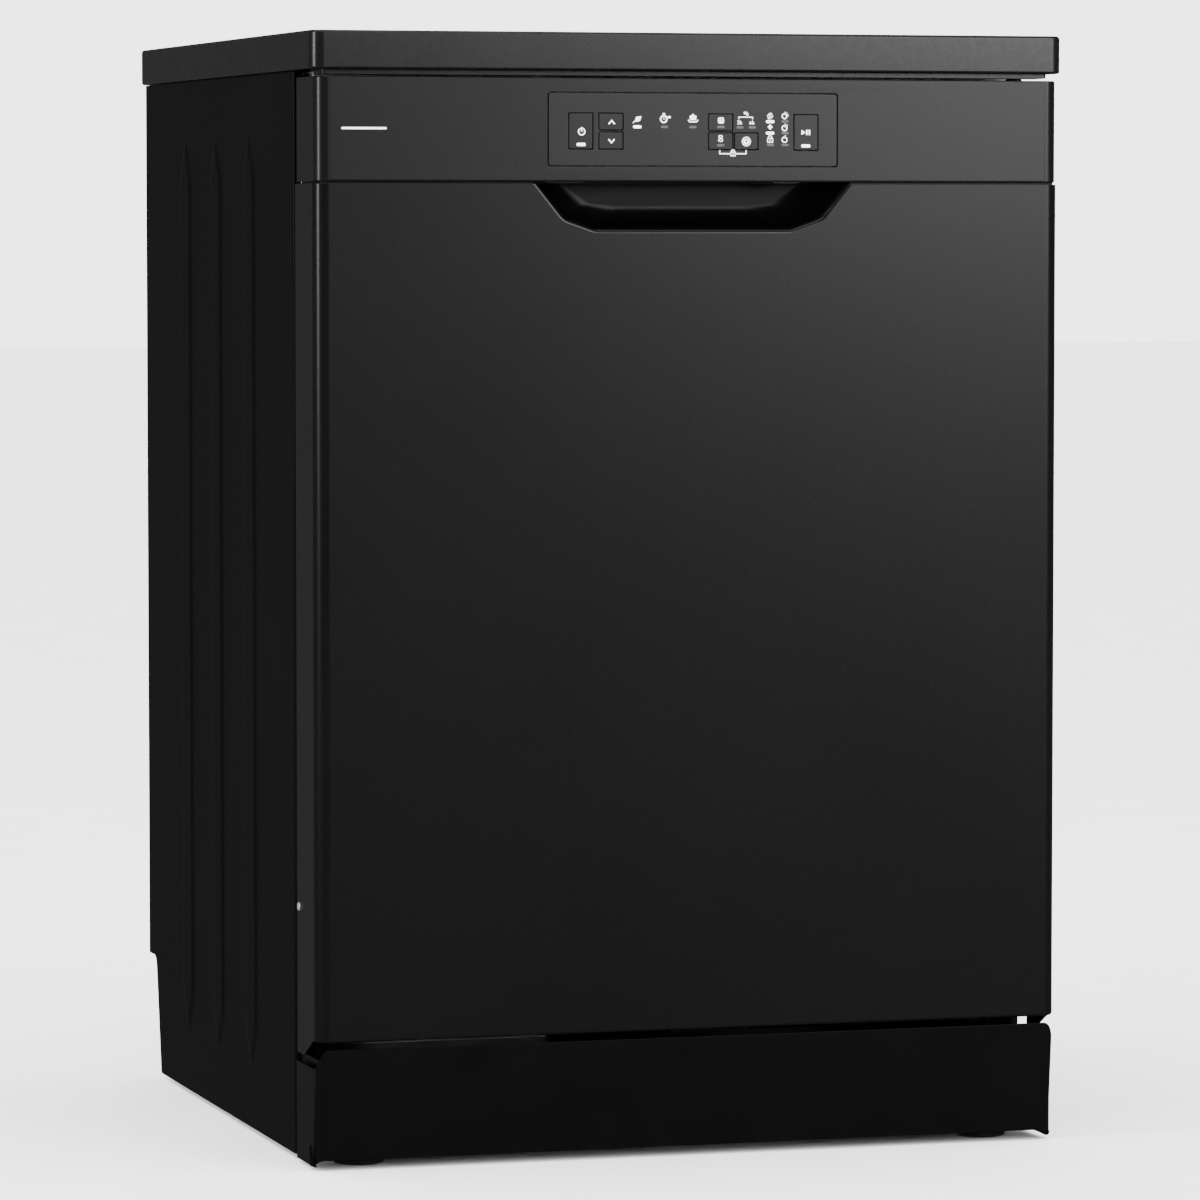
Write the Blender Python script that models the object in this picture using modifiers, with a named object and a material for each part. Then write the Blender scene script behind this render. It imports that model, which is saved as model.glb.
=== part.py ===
"""Free-standing 60 cm dishwasher: cabinet, tub, hinged door, racks, spray arms, pumps and feet.

Metres, +Z up, origin at the bottom centre of the machine's box. The door faces -Y, and +X is to the
right of a person who stands in front of it. The door is modelled shut, with the racks pushed in.
"""
import math

import bmesh
import bpy
from mathutils import Matrix, Vector

MM = 0.001

# ---- driving dimensions, in millimetres ----
GAP = 0.4  # kept between pieces that touch on the real machine

WORKTOP_X, WORKTOP_Y, WORKTOP_Z0, WORKTOP_Z1 = 299, 300, 831, 860
CORNER_R = 10  # vertical corners of the worktop and the door

SIDE_X, SIDE_T = 294.5, 1.2  # outer face of a side panel, and its sheet
SIDE_FRONT, SIDE_BACK, SIDE_Z0, SIDE_Z1 = -222, 296, 4, 830.6
NOTCH_Z = 104  # where the rear edge steps in for the base
RIB_W, RIB_Z0, RIB_Z1, RIB_H = 43.5, 50, 785, 1.4
RIB_YS = (146, 37, -77)

DOOR_X, DOOR_FRONT, DOOR_BACK = 296.5, -300, -237
PANEL_BACK = -238.5  # the control panel stops short of the liner
DOOR_Z0, DOOR_Z1, DOOR_SIDE_Z0 = 98.5, 745.5, 85
SKIN_T = 1.2
LINER_FACE = -236.5  # the door's inner face, towards the tub
PANEL_X, PANEL_FRONT, PANEL_Z0, PANEL_Z1, PANEL_T = 295.5, -298.7, 747, 825.5, 2.5
INSERT_X, INSERT_Z0, INSERT_Z1, GROOVE = 115.5, 758.5, 814.8, 0.8

HINGE_Y, HINGE_Z, HINGE_PIN_R = -263.5, 136.5, 4
DISPENSER_Z0, DISPENSER_Z1 = 369, 493  # low enough for the lid to fall clear of the upper rack

TUB_X, TUB_Y0, TUB_Y1, TUB_Z0, TUB_Z1, TUB_T = 270, -222, 262, 165.5, 812, 1.5
FLOOR_FRONT = -215  # the tub floor's front edge, behind the door's sweep

TRAY_X, TRAY_Y0, TRAY_Y1, TRAY_Z0, TRAY_Z1, TRAY_T = 287.5, -280, 250, 18, 60, 3

FOOT_X, FOOT_YS, FOOT_R, FOOT_H, STUD_R = 252, (-250, 215), 20, 12, 4.5

SPRAY_X, SPRAY_Y, SPRAY_R = 0, 25, 200  # both spray arms turn about this line
LOWER_ARM_Z, UPPER_ARM_Z = 193, 476
CUP_X, CUP_Y = 56, -26  # the filter cup, beside the spray arm's post

LOWER_RACK = dict(x=248, y0=-203, y1=226, z0=214, z1=356)
UPPER_RACK = dict(x=246, y0=-203, y1=226, z0=502, z1=618)
WIRE = 4.0
WHEEL_R, WHEEL_W, WHEEL_YS = 18, 8, (-110, 150)
RAIL_Z, RAIL_H = 560, 18

# ---- buttons: name, x centre, width, z centre, height ----
BUTTONS = (
    ("power_button", -89.5, 18.4, 785.3, 26.8),
    ("up_button", -65.7, 18.6, 792.5, 12.3),
    ("down_button", -65.7, 18.6, 778.2, 12.6),
    ("half_load_button", 21.4, 19.0, 792.2, 12.5),
    ("extra_dry_button", 21.4, 19.0, 778.0, 12.4),
    ("delay_button", 41.9, 18.4, 778.0, 12.4),
    ("start_button", 89.8, 18.9, 784.9, 26.7),
)
BUTTON_PROUD, BUTTON_CLEARANCE = 0.4, 0.5

# ---- finishes: sRGB colour, roughness, metallic ----
FINISHES = {
    "black_paint": ("1c1c1c", 0.38, 0.0),
    "black_laminate": ("1e1e1e", 0.42, 0.0),
    "black_plastic": ("161616", 0.5, 0.0),
    "button_plastic": ("131313", 0.42, 0.0),
    "stainless": ("b9bbbc", 0.28, 1.0),
    "zinc_steel": ("9a9c9d", 0.42, 1.0),
    "grey_plastic": ("8d9093", 0.5, 0.0),
    "white_plastic": ("d8d9d6", 0.45, 0.0),
    "rack_coating": ("a9adb1", 0.4, 0.0),
    "rubber": ("26272a", 0.8, 0.0),
}


def clear_scene():
    """Remove the default objects, so the file holds only the machine."""
    for obj in list(bpy.data.objects):
        bpy.data.objects.remove(obj, do_unlink=True)


def new_collection(name):
    collection = bpy.data.collections.new(name)
    bpy.context.scene.collection.children.link(collection)
    return collection


clear_scene()
PARTS = new_collection("dishwasher")
CUTTERS = new_collection("cutters")


def finish(name):
    """The Principled material of one finish, made once."""
    found = bpy.data.materials.get(name)
    if found:
        return found
    colour, roughness, metallic = FINISHES[name]
    mat = bpy.data.materials.new(name)
    mat.use_nodes = True
    shader = mat.node_tree.nodes["Principled BSDF"]
    srgb = [int(colour[i : i + 2], 16) / 255 for i in (0, 2, 4)]
    linear = [c / 12.92 if c <= 0.04045 else ((c + 0.055) / 1.055) ** 2.4 for c in srgb]
    shader.inputs["Base Color"].default_value = (*linear, 1)
    shader.inputs["Roughness"].default_value = roughness
    shader.inputs["Metallic"].default_value = metallic
    return mat


def place(name, mesh, look, pivot=(0, 0, 0)):
    """Link a mesh as a part, or as a cutter when it has no finish. The pivot is in millimetres."""
    obj = bpy.data.objects.new(name, mesh)
    obj.location = Vector(pivot) * MM
    if look:
        mesh.materials.append(finish(look))
        PARTS.objects.link(obj)
    else:
        obj.hide_render = True
        obj.display_type = "WIRE"
        CUTTERS.objects.link(obj)
    return obj


def box(name, low, high, look=None, pivot=(0, 0, 0), bevel=0.0, segments=2):
    """A block between two corners, in millimetres, with its edges rounded by a Bevel modifier."""
    low, high, pivot = Vector(low), Vector(high), Vector(pivot)
    bm = bmesh.new()
    bmesh.ops.create_cube(bm, size=1)
    bmesh.ops.scale(bm, vec=(high - low) * MM, verts=bm.verts)
    bmesh.ops.translate(bm, vec=((high + low) / 2 - pivot) * MM, verts=bm.verts)
    mesh = bpy.data.meshes.new(name)
    bm.to_mesh(mesh)
    bm.free()
    obj = place(name, mesh, look, pivot)
    if bevel:
        round_edges(obj, bevel, segments)
    return obj


def round_edges(obj, width, segments=2, angle=40):
    mod = obj.modifiers.new("rounded", "BEVEL")
    mod.width = width * MM
    mod.segments = segments
    mod.limit_method = "ANGLE"
    mod.angle_limit = math.radians(angle)
    return mod


def rod(name, centre, axis, radius, length, look=None, pivot=(0, 0, 0), sides=24):
    """A round bar along X, Y or Z, centred on a point."""
    turn = {
        "X": Matrix.Rotation(math.pi / 2, 4, "Y"),
        "Y": Matrix.Rotation(math.pi / 2, 4, "X"),
        "Z": Matrix.Identity(4),
    }[axis]
    bm = bmesh.new()
    bmesh.ops.create_cone(
        bm, cap_ends=True, segments=sides, radius1=radius * MM, radius2=radius * MM, depth=length * MM
    )
    bmesh.ops.transform(bm, matrix=turn, verts=bm.verts)
    bmesh.ops.translate(bm, vec=(Vector(centre) - Vector(pivot)) * MM, verts=bm.verts)
    mesh = bpy.data.meshes.new(name)
    bm.to_mesh(mesh)
    bm.free()
    obj = place(name, mesh, look, pivot)
    mesh.shade_smooth()
    mesh.set_sharp_from_angle(angle=math.radians(35))
    return obj


def boolean(obj, tool, operation):
    mod = obj.modifiers.new(tool.name, "BOOLEAN")
    mod.operation = operation
    mod.solver = "EXACT"
    mod.object = tool
    return obj


def cut(obj, *tools):
    for tool in tools:
        boolean(obj, tool, "DIFFERENCE")
    return obj


def join(obj, *tools):
    for tool in tools:
        boolean(obj, tool, "UNION")
    return obj


def rounded(points, radii, steps=4):
    """The polygon with each corner replaced by an arc of its radius."""
    out = []
    count = len(points)
    for i, point in enumerate(points):
        radius = radii[i] if isinstance(radii, (list, tuple)) else radii
        here = Vector(point)
        before = (Vector(points[i - 1]) - here).normalized()
        after = (Vector(points[(i + 1) % count]) - here).normalized()
        if not radius:
            out.append(tuple(here))
            continue
        half = before.angle(after) / 2
        reach = radius / math.tan(half)
        start, end = here + before * reach, here + after * reach
        centre = here + (before + after).normalized() * (radius / math.sin(half))
        a, b = start - centre, end - centre
        sweep = a.angle_signed(b)
        for k in range(steps + 1):
            arm = a.copy()
            arm.rotate(Matrix.Rotation(-sweep * k / steps, 2))
            out.append(tuple(centre + arm))
    return out


def rectangle(x0, x1, z0, z1):
    return [(x0, z0), (x1, z0), (x1, z1), (x0, z1)]


def circle(cx, cz, radius, steps=24):
    angles = [2 * math.pi * k / steps for k in range(steps)]
    return [(cx + radius * math.cos(a), cz + radius * math.sin(a)) for a in angles]


PLANES = {
    "XY": Matrix.Identity(4),
    "XZ": Matrix(((1, 0, 0, 0), (0, 0, -1, 0), (0, 1, 0, 0), (0, 0, 0, 1))),
    "YZ": Matrix(((0, 0, 1, 0), (1, 0, 0, 0), (0, 1, 0, 0), (0, 0, 0, 1))),
}
NORMALS = {"XY": Vector((0, 0, 1)), "XZ": Vector((0, 1, 0)), "YZ": Vector((1, 0, 0))}


def plate(name, loops, plane, low, high, look=None, pivot=(0, 0, 0)):
    """A flat outline with holes, extruded across its plane from low to high."""
    curve = bpy.data.curves.new(name, "CURVE")
    curve.dimensions = "2D"
    curve.fill_mode = "BOTH"
    curve.extrude = (high - low) / 2 * MM
    for loop in loops:
        spline = curve.splines.new("POLY")
        spline.points.add(len(loop) - 1)
        for point, (u, v) in zip(spline.points, loop):
            point.co = (u * MM, v * MM, 0, 1)
        spline.use_cyclic_u = True
    guide = bpy.data.objects.new(name + "_outline", curve)
    CUTTERS.objects.link(guide)
    graph = bpy.context.evaluated_depsgraph_get()
    mesh = bpy.data.meshes.new_from_object(guide.evaluated_get(graph))
    bpy.data.objects.remove(guide, do_unlink=True)
    middle = NORMALS[plane] * ((low + high) / 2) - Vector(pivot)
    bm = bmesh.new()
    bm.from_mesh(mesh)
    bmesh.ops.remove_doubles(bm, verts=bm.verts, dist=0.00001)
    bmesh.ops.transform(bm, matrix=Matrix.Translation(middle * MM) @ PLANES[plane], verts=bm.verts)
    bmesh.ops.recalc_face_normals(bm, faces=bm.faces)
    bm.to_mesh(mesh)
    bm.free()
    mesh.name = name
    mesh.materials.clear()
    return place(name, mesh, look, pivot)


def turned(name, profile, look, pivot, steps=20, closed=False, turn=(0, 0, 0)):
    """A profile of (radius, height) turned about Z through the pivot. It runs down the outer side."""
    bm = bmesh.new()
    verts = [bm.verts.new((r * MM, 0, z * MM)) for r, z in profile]
    pairs = list(zip(verts, verts[1:])) + ([(verts[-1], verts[0])] if closed else [])
    for pair in pairs:
        bm.edges.new(pair)
    mesh = bpy.data.meshes.new(name)
    bm.to_mesh(mesh)
    bm.free()
    obj = place(name, mesh, look, pivot)
    obj.rotation_euler = turn
    mod = obj.modifiers.new("turned", "SCREW")
    mod.steps = steps
    mod.render_steps = steps
    mod.use_merge_vertices = True
    mod.merge_threshold = 0.00005
    mod.use_smooth_shade = True
    return obj


def tube(name, points, radius, look, resolution=2):
    """A round tube or wire along points, with filled ends, as a welded mesh."""
    curve = bpy.data.curves.new(name, "CURVE")
    curve.dimensions = "3D"
    curve.bevel_depth = radius * MM
    curve.bevel_resolution = resolution
    curve.use_fill_caps = True
    spline = curve.splines.new("POLY")
    spline.points.add(len(points) - 1)
    for point, place_at in zip(spline.points, points):
        point.co = (*(Vector(place_at) * MM), 1)
    guide = bpy.data.objects.new(name + "_path", curve)
    CUTTERS.objects.link(guide)
    graph = bpy.context.evaluated_depsgraph_get()
    mesh = bpy.data.meshes.new_from_object(guide.evaluated_get(graph))
    bpy.data.objects.remove(guide, do_unlink=True)
    bm = bmesh.new()
    bm.from_mesh(mesh)
    bmesh.ops.remove_doubles(bm, verts=bm.verts, dist=0.00001)
    bmesh.ops.recalc_face_normals(bm, faces=bm.faces)
    bm.to_mesh(mesh)
    bm.free()
    mesh.name = name
    mesh.materials.clear()
    mesh.shade_smooth()
    return place(name, mesh, look)


# ---------------------------------------------------------------- cabinet


def worktop():
    """Laminated board with rounded vertical corners."""
    corners = rectangle(-WORKTOP_X, WORKTOP_X, -WORKTOP_Y, WORKTOP_Y)
    top = plate("worktop", [rounded(corners, CORNER_R, 5)], "XY", WORKTOP_Z0, WORKTOP_Z1, "black_laminate")
    round_edges(top, 1.0, 1, 60)


def side_panel(side, name):
    """Painted sheet with a folded front edge, a folded top edge and three pressed ribs."""
    step = 268
    outline = [
        (SIDE_FRONT, SIDE_Z0),
        (252, SIDE_Z0),
        (step, NOTCH_Z - 4),
        (SIDE_BACK, NOTCH_Z - 4),
        (SIDE_BACK, SIDE_Z1),
        (SIDE_FRONT, SIDE_Z1),
    ]
    radii = [0, 0, 8, 8, 0, 0]
    inner, outer = sorted((side * (SIDE_X - SIDE_T), side * SIDE_X))
    panel = plate(name, [rounded(outline, radii, 3)], "YZ", inner, outer, "black_paint")
    fold = sorted((side * (SIDE_X - 6), side * (SIDE_X - 0.2)))
    tools = [
        box(name + "_front_fold", (fold[0], SIDE_FRONT + 0.1, SIDE_Z0 + 1), (fold[1], SIDE_FRONT + SIDE_T, SIDE_Z1 - 1))
    ]
    top_fold = sorted((side * (SIDE_X - 14), side * (SIDE_X - 0.2)))
    tools.append(
        box(
            name + "_top_fold",
            (top_fold[0], SIDE_FRONT + 8, SIDE_Z1 - SIDE_T),
            (top_fold[1], SIDE_BACK - 8, SIDE_Z1 - 0.1),
        )
    )
    rib_x = sorted((side * (SIDE_X - 0.6), side * (SIDE_X + RIB_H)))
    for k, y in enumerate(RIB_YS):
        rib = rounded(rectangle(y - RIB_W / 2, y + RIB_W / 2, RIB_Z0, RIB_Z1), RIB_W / 2 - 0.2, 4)
        tools.append(plate(f"{name}_rib_{k}", [rib], "YZ", *rib_x))
    join(panel, *tools)


def rear_panel():
    """Plain sheet between the side panels, above the base."""
    box("rear_panel", (-292.6, 288, NOTCH_Z + 4), (292.6, 289.2, 829), "zinc_steel")


def base_tray():
    """Moulded tray that carries the pumps, with four bosses for the screw feet and two rear ports."""
    tray = box("base_tray", (-TRAY_X, TRAY_Y0, TRAY_Z0), (TRAY_X, TRAY_Y1, TRAY_Z1), "black_plastic")
    hollow = box(
        "base_tray_hollow",
        (-TRAY_X + TRAY_T, TRAY_Y0 + TRAY_T, TRAY_Z0 + TRAY_T),
        (TRAY_X - TRAY_T, TRAY_Y1 - TRAY_T, TRAY_Z1 + 5),
    )
    cut(tray, hollow)
    for i, x in enumerate((-FOOT_X, FOOT_X)):
        for k, y in enumerate(FOOT_YS):
            low, high = FOOT_H + 0.6, 44
            join(tray, rod(f"tray_boss_{i}{k}", (x, y, (low + high) / 2), "Z", 14, high - low, sides=12))
            cut(tray, rod(f"tray_thread_{i}{k}", (x, y, 30), "Z", STUD_R + 0.4, 60, sides=12))
    cut(tray, rod("tray_valve_port", (-200, TRAY_Y1, 42), "Y", 11, 20, sides=16))
    cut(tray, rod("tray_gland_port", (-120, TRAY_Y1, 42), "Y", 7.4, 20, sides=16))


def kick_plate():
    """Moulded plinth: a front that leans back towards the floor, and two short side returns."""
    half, back, front_top, front_low = 296, -232, -300, -291
    side_top, front_z, low_side, low_front = 77.8, 93, 3, 8
    radius, steps = 8, 4
    plan = [(back, side_top, low_side, 0), (-276, side_top, low_side, 0)]
    rows = []
    for y, top, low, _ in plan:
        rows.append(((half, y, top), (half, y, low)))
    for k in range(steps + 1):
        angle = math.pi / 2 * k / steps
        x = half - radius * (1 - math.cos(angle))
        share = k / steps
        top = (x, front_top + radius * (1 - math.sin(angle)), side_top + (front_z - side_top) * share)
        low = (x, front_low + radius * (1 - math.sin(angle)), low_side + (low_front - low_side) * share)
        rows.append((top, low))
    rows += [((-x, y, z), (-u, v, w)) for (x, y, z), (u, v, w) in reversed(rows)]
    bm = bmesh.new()
    pairs = [[bm.verts.new(Vector(p) * MM) for p in row] for row in rows]
    for (a, b), (c, d) in zip(pairs, pairs[1:]):
        bm.faces.new((a, b, d, c))
    bmesh.ops.recalc_face_normals(bm, faces=bm.faces)
    mesh = bpy.data.meshes.new("kick_plate")
    bm.to_mesh(mesh)
    bm.free()
    plinth = place("kick_plate", mesh, "black_plastic")
    wall = plinth.modifiers.new("wall", "SOLIDIFY")
    wall.thickness = 2.2 * MM
    wall.offset = 1 if mesh.polygons[len(mesh.polygons) // 2].normal.y > 0 else -1
    wall.use_even_offset = True


def front_crossbar():
    """Steel bar under the worktop's front, between the side panels, with the latch's striker hook."""
    bar = box("front_crossbar", (-279, -226, 827), (279, -186, 830.4), "zinc_steel")
    join(bar, box("striker_tab", (-14, -225.5, 819), (14, -222.5, 828)))
    join(bar, box("striker_tongue", (-12, -246, 819), (12, -223, 821.6)))


def tub_shell():
    """Stainless hood of the wash tub, open at the front and below, with two rollers on each wall."""
    outer = rectangle(-TUB_X - TUB_T, TUB_X + TUB_T, TUB_Z0 + GAP, TUB_Z1 + TUB_T)
    inner = rectangle(-TUB_X, TUB_X, TUB_Z0 - 20, TUB_Z1)
    shell = plate("tub_shell", [rounded(outer, [0, 0, 22, 22], 5)], "XZ", TUB_Y0, TUB_Y1 + TUB_T, "stainless")
    hollow = plate("tub_hollow", [rounded(inner, [0, 0, 20.5, 20.5], 5)], "XZ", TUB_Y0 - 10, TUB_Y1)
    cut(shell, hollow)
    for side in (-1, 1):
        for k, y in enumerate((-195, -125)):
            join(shell, rod(f"tub_roller_{side}_{k}", (side * 268, y, RAIL_Z), "X", 7.2, 5.4, sides=16))


def tub_floor():
    """Stainless floor with a turned-down front lip and a round opening over the sump."""
    edge = TUB_X + TUB_T
    outline = rectangle(-edge, edge, FLOOR_FRONT, TUB_Y1 + TUB_T)
    hole = circle(20, 0, 92, 32)
    salt = circle(-150, -90, 31, 20)
    floor = plate("tub_floor", [outline, hole, salt], "XY", TUB_Z0 - 2, TUB_Z0, "stainless")
    join(floor, box("tub_lip", (-edge + 1, FLOOR_FRONT + 0.1, 140), (edge - 1, FLOOR_FRONT + 1.6, TUB_Z0 - 1)))


def door_gasket():
    """Rubber seal round the sides and the top of the tub's mouth."""
    out, inn = 278, 271.6
    outer = rectangle(-out, out, 172, TUB_Z1 + 6)
    inner = rectangle(-inn, inn, 150, TUB_Z1 + 2.6)
    seal = plate("door_gasket", [rounded(outer, [0, 0, 26, 26], 5)], "XZ", -235.9, -223, "rubber")
    cut(seal, plate("gasket_hollow", [rounded(inner, [0, 0, 21, 21], 5)], "XZ", -260, -200))


def sump_parts():
    """Sump bowl with the lower spray arm's post, its flat filter and its turn-out filter cup."""
    centre = (20, 0, 0)
    bowl = [(0, 84), (64, 84), (83, 108), (83, 158), (91, 158), (91, 155.5), (86, 155.5), (86, 107), (66, 80), (0, 80)]
    sump = turned("sump_housing", bowl, "grey_plastic", centre, 28)
    post = rod("spray_post", (SPRAY_X, SPRAY_Y, 134), "Z", 10, 108, sides=20)
    join(sump, post)
    ring = circle(20, 0, 90, 32)
    cup_hole = circle(CUP_X, CUP_Y, 31, 24)
    post_hole = circle(SPRAY_X, SPRAY_Y, 11, 20)
    plate("flat_filter", [ring, cup_hole, post_hole], "XY", 159, 160.5, "stainless")
    cup = [(0, 150), (27, 150), (27, 166), (30, 166), (30, 128), (25, 118), (0, 118)]
    basket = turned("filter_cup", [(r, z - 118) for r, z in cup], "grey_plastic", (CUP_X, CUP_Y, 118), 20)
    join(basket, box("filter_grip", (CUP_X - 2, CUP_Y - 28, 148), (CUP_X + 2, CUP_Y + 28, 173)))


def pumps_and_water():
    """Pumps, inlet valve, softener, air break, cord gland and feed pipe."""
    pump = rod("circulation_pump", (20, 150, 80), "Y", 34, 90, "black_plastic", sides=24)
    join(pump, rod("pump_volute", (20, 116, 80), "Y", 44, 24, sides=24))
    join(pump, box("pump_saddle", (4, 110, 22), (36, 180, 60)))
    drain = rod("drain_pump", (120, 40, 70), "X", 22, 60, "white_plastic", sides=20)
    join(drain, box("drain_saddle", (100, 28, 22), (140, 52, 56)))
    valve = box("inlet_valve", (-215, 205, 24), (-185, 245, 62), "white_plastic", bevel=2)
    join(valve, rod("valve_port", (-200, 250, 42), "Y", 9.8, 40, sides=20))
    turned("cord_gland", [(0, 18), (6.6, 18), (6.6, 8), (10, 8), (10, 0), (3.6, 0), (3.6, 12), (0, 12)],
           "black_plastic", (-120, 262, 42), 16, turn=(math.pi / 2, 0, 0))
    tank = box("salt_container", (-225, -160, 60), (-75, 20, 150), "white_plastic", bevel=8)
    join(tank, rod("salt_neck", (-150, -90, 152), "Z", 29, 24, sides=24))
    cut(tank, rod("salt_bore", (-150, -90, 130), "Z", 24, 90, sides=24))
    box("air_breaker", (-290, -120, 180), (-274, 160, 640), "white_plastic", bevel=3)
    pipe = tube("feed_pipe", [(0, 247, 168), (0, 247, 770), (0, 240, 786), (0, 222, 792), (0, 64, 792)], 9,
                "grey_plastic", 3)
    join(pipe, rod("pipe_outlet", (0, 238, 493), "Y", 8, 16, sides=16))
    turned("ceiling_sprayer", [(0, 16), (12, 16), (12, 8), (42, 4), (42, 0), (0, 0)], "grey_plastic",
           (0, 20, 788), 24)


def salt_cap():
    """Screw cap of the softener, in the tub floor."""
    top = [(0, 176), (26, 176), (28, 174), (28, 167), (22, 167), (22, 150), (0, 150)]
    cap = turned("salt_cap", [(r, z - 150) for r, z in top], "grey_plastic", (-150, -90, 150), 20)
    join(cap, box("salt_cap_grip", (-170, -93, 174), (-130, -87, 183)))


def hinge_bracket(side, name):
    """Steel bracket on the base with the door's pivot pin."""
    low, high = sorted((side * 279, side * 281.5))
    tip, low_edge, high_edge = HINGE_Y - 12, HINGE_Z - 10.5, HINGE_Z + 11.5
    outline = [(tip, low_edge), (tip, high_edge), (-150, high_edge), (-150, 62), (-170, 62), (-170, low_edge)]
    bracket = plate(name, [rounded(outline, [8, 8, 0, 0, 0, 0], 3)], "YZ", low, high, "zinc_steel")
    join(bracket, rod(name + "_pin", (side * 283.5, HINGE_Y, HINGE_Z), "X", HINGE_PIN_R, 8, sides=16))


def door_spring(side, name):
    """Tension coil between the base and the hinge arm."""
    turns, per_turn, radius, z0, z1 = 7, 7, 5, 64, 138
    count = turns * per_turn
    points = []
    for k in range(count + 1):
        angle = 2 * math.pi * k / per_turn
        points.append((
            side * (286.5 + 0.6 * radius * math.cos(angle)),
            -185 + radius * math.sin(angle),
            z0 + (z1 - z0) * k / count,
        ))
    tube(name, points, 1.1, "zinc_steel", 1)


def feet():
    """Four screw feet: a broad pad and a threaded stud in the tray's boss."""
    names = (("front_left_foot", -1, 0), ("front_right_foot", 1, 0), ("rear_left_foot", -1, 1),
             ("rear_right_foot", 1, 1))
    profile = [(0, 58), (STUD_R, 58), (STUD_R, FOOT_H), (FOOT_R - 4, FOOT_H), (FOOT_R, FOOT_H - 3), (FOOT_R, 0), (0, 0)]
    for name, side, row in names:
        turned(name, profile, "black_plastic", (side * FOOT_X, FOOT_YS[row], 0), 16)


# ---------------------------------------------------------------- door


def door_front_panel():
    """Painted skin of the door: front, rounded vertical corners, side returns and the handle opening."""
    outer = [(-DOOR_X, DOOR_BACK), (-DOOR_X, DOOR_FRONT), (DOOR_X, DOOR_FRONT), (DOOR_X, DOOR_BACK)]
    inner_x, inner_front = DOOR_X - SKIN_T, DOOR_FRONT + SKIN_T
    inner = [(inner_x, DOOR_BACK), (inner_x, inner_front), (-inner_x, inner_front), (-inner_x, DOOR_BACK)]
    outline = rounded(outer, [0, CORNER_R + 1, CORNER_R + 1, 0], 5)
    outline += rounded(inner, [0, CORNER_R - 0.2, CORNER_R - 0.2, 0], 5)
    skin = plate("door_front_panel", [outline], "XY", DOOR_SIDE_Z0, DOOR_Z1, "black_paint")
    below = [(-310, 70), (-310, DOOR_Z0), (-285, DOOR_Z0), (-258, DOOR_SIDE_Z0), (-258, 70)]
    cut(skin, plate("skin_bottom_cut", [below], "YZ", -310, 310))
    join(skin, box("skin_bottom_fold", (-270, DOOR_FRONT + 0.6, DOOR_Z0 + 0.1), (270, -266, DOOR_Z0 + SKIN_T)))
    cut(skin, plate("handle_cut", [handle_outline(0, 6)], "XZ", DOOR_FRONT - 5, DOOR_FRONT + 5))


def handle_outline(inset, rise):
    """The handle opening: a trapezoid with two slopes on each side, open upwards by the rise."""
    top = DOOR_Z1 + rise
    right = [(123 - inset, top), (123 - inset, DOOR_Z1), (102 - inset, 719.8), (78 - inset, 711.4 + inset)]
    left = [(-x, z) for x, z in reversed(right)]
    radii = [0, 0, 12, 14, 14, 12, 0, 0]
    return rounded(right + left, radii, 3)


def handle_pocket():
    """Moulded cup behind the handle opening, open to the front and upwards."""
    front, back = DOOR_FRONT + SKIN_T + GAP, -264
    pocket = plate("handle_pocket", [handle_outline(-3, 0.6)], "XZ", front, back, "black_plastic")
    cut(pocket, plate("pocket_hollow", [handle_outline(0, 10)], "XZ", front - 5, back - 2.5))


def control_panel():
    """Moulded head of the door with a window for the button plate."""
    outer = [(-PANEL_X, PANEL_BACK), (-PANEL_X, PANEL_FRONT), (PANEL_X, PANEL_FRONT), (PANEL_X, PANEL_BACK)]
    panel = plate("control_panel", [rounded(outer, [0, CORNER_R, CORNER_R, 0], 5)], "XY", PANEL_Z0, PANEL_Z1,
                  "black_plastic")
    hollow = [(-PANEL_X + PANEL_T, -230), (-PANEL_X + PANEL_T, PANEL_FRONT + PANEL_T),
              (PANEL_X - PANEL_T, PANEL_FRONT + PANEL_T), (PANEL_X - PANEL_T, -230)]
    cut(panel, plate("panel_hollow", [rounded(hollow, [0, 7.5, 7.5, 0], 4)], "XY", PANEL_Z0 + PANEL_T,
                     PANEL_Z1 - PANEL_T))
    window = rounded(rectangle(-INSERT_X, INSERT_X, INSERT_Z0, INSERT_Z1), 2.5, 3)
    cut(panel, plate("panel_window", [window], "XZ", PANEL_FRONT - 5, PANEL_FRONT + 10))


def control_insert():
    """Button plate in the window, with a hole for each button."""
    outline = rounded(
        rectangle(-INSERT_X + GROOVE, INSERT_X - GROOVE, INSERT_Z0 + GROOVE, INSERT_Z1 - GROOVE), 1.8, 3
    )
    holes = []
    for _, x, width, z, height in BUTTONS:
        u, v = width / 2 + BUTTON_CLEARANCE, height / 2 + BUTTON_CLEARANCE
        holes.append(rectangle(x - u, x + u, z - v, z + v))
    plate("control_insert", [outline] + holes, "XZ", PANEL_FRONT, PANEL_FRONT + 3.5, "black_plastic")


def buttons():
    """Seven push buttons that travel 1.2 mm into the door."""
    for name, x, width, z, height in BUTTONS:
        low = (x - width / 2, PANEL_FRONT - BUTTON_PROUD, z - height / 2)
        high = (x + width / 2, PANEL_FRONT + 8, z + height / 2)
        box(name, low, high, "button_plastic", (x, PANEL_FRONT, z), bevel=0.5, segments=1)


def control_board_box():
    """Closed plastic box of the electronics, behind the button plate."""
    box("control_board_box", (-118, -288, 756), (118, -262, 818), "grey_plastic", bevel=2, segments=1)


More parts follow.
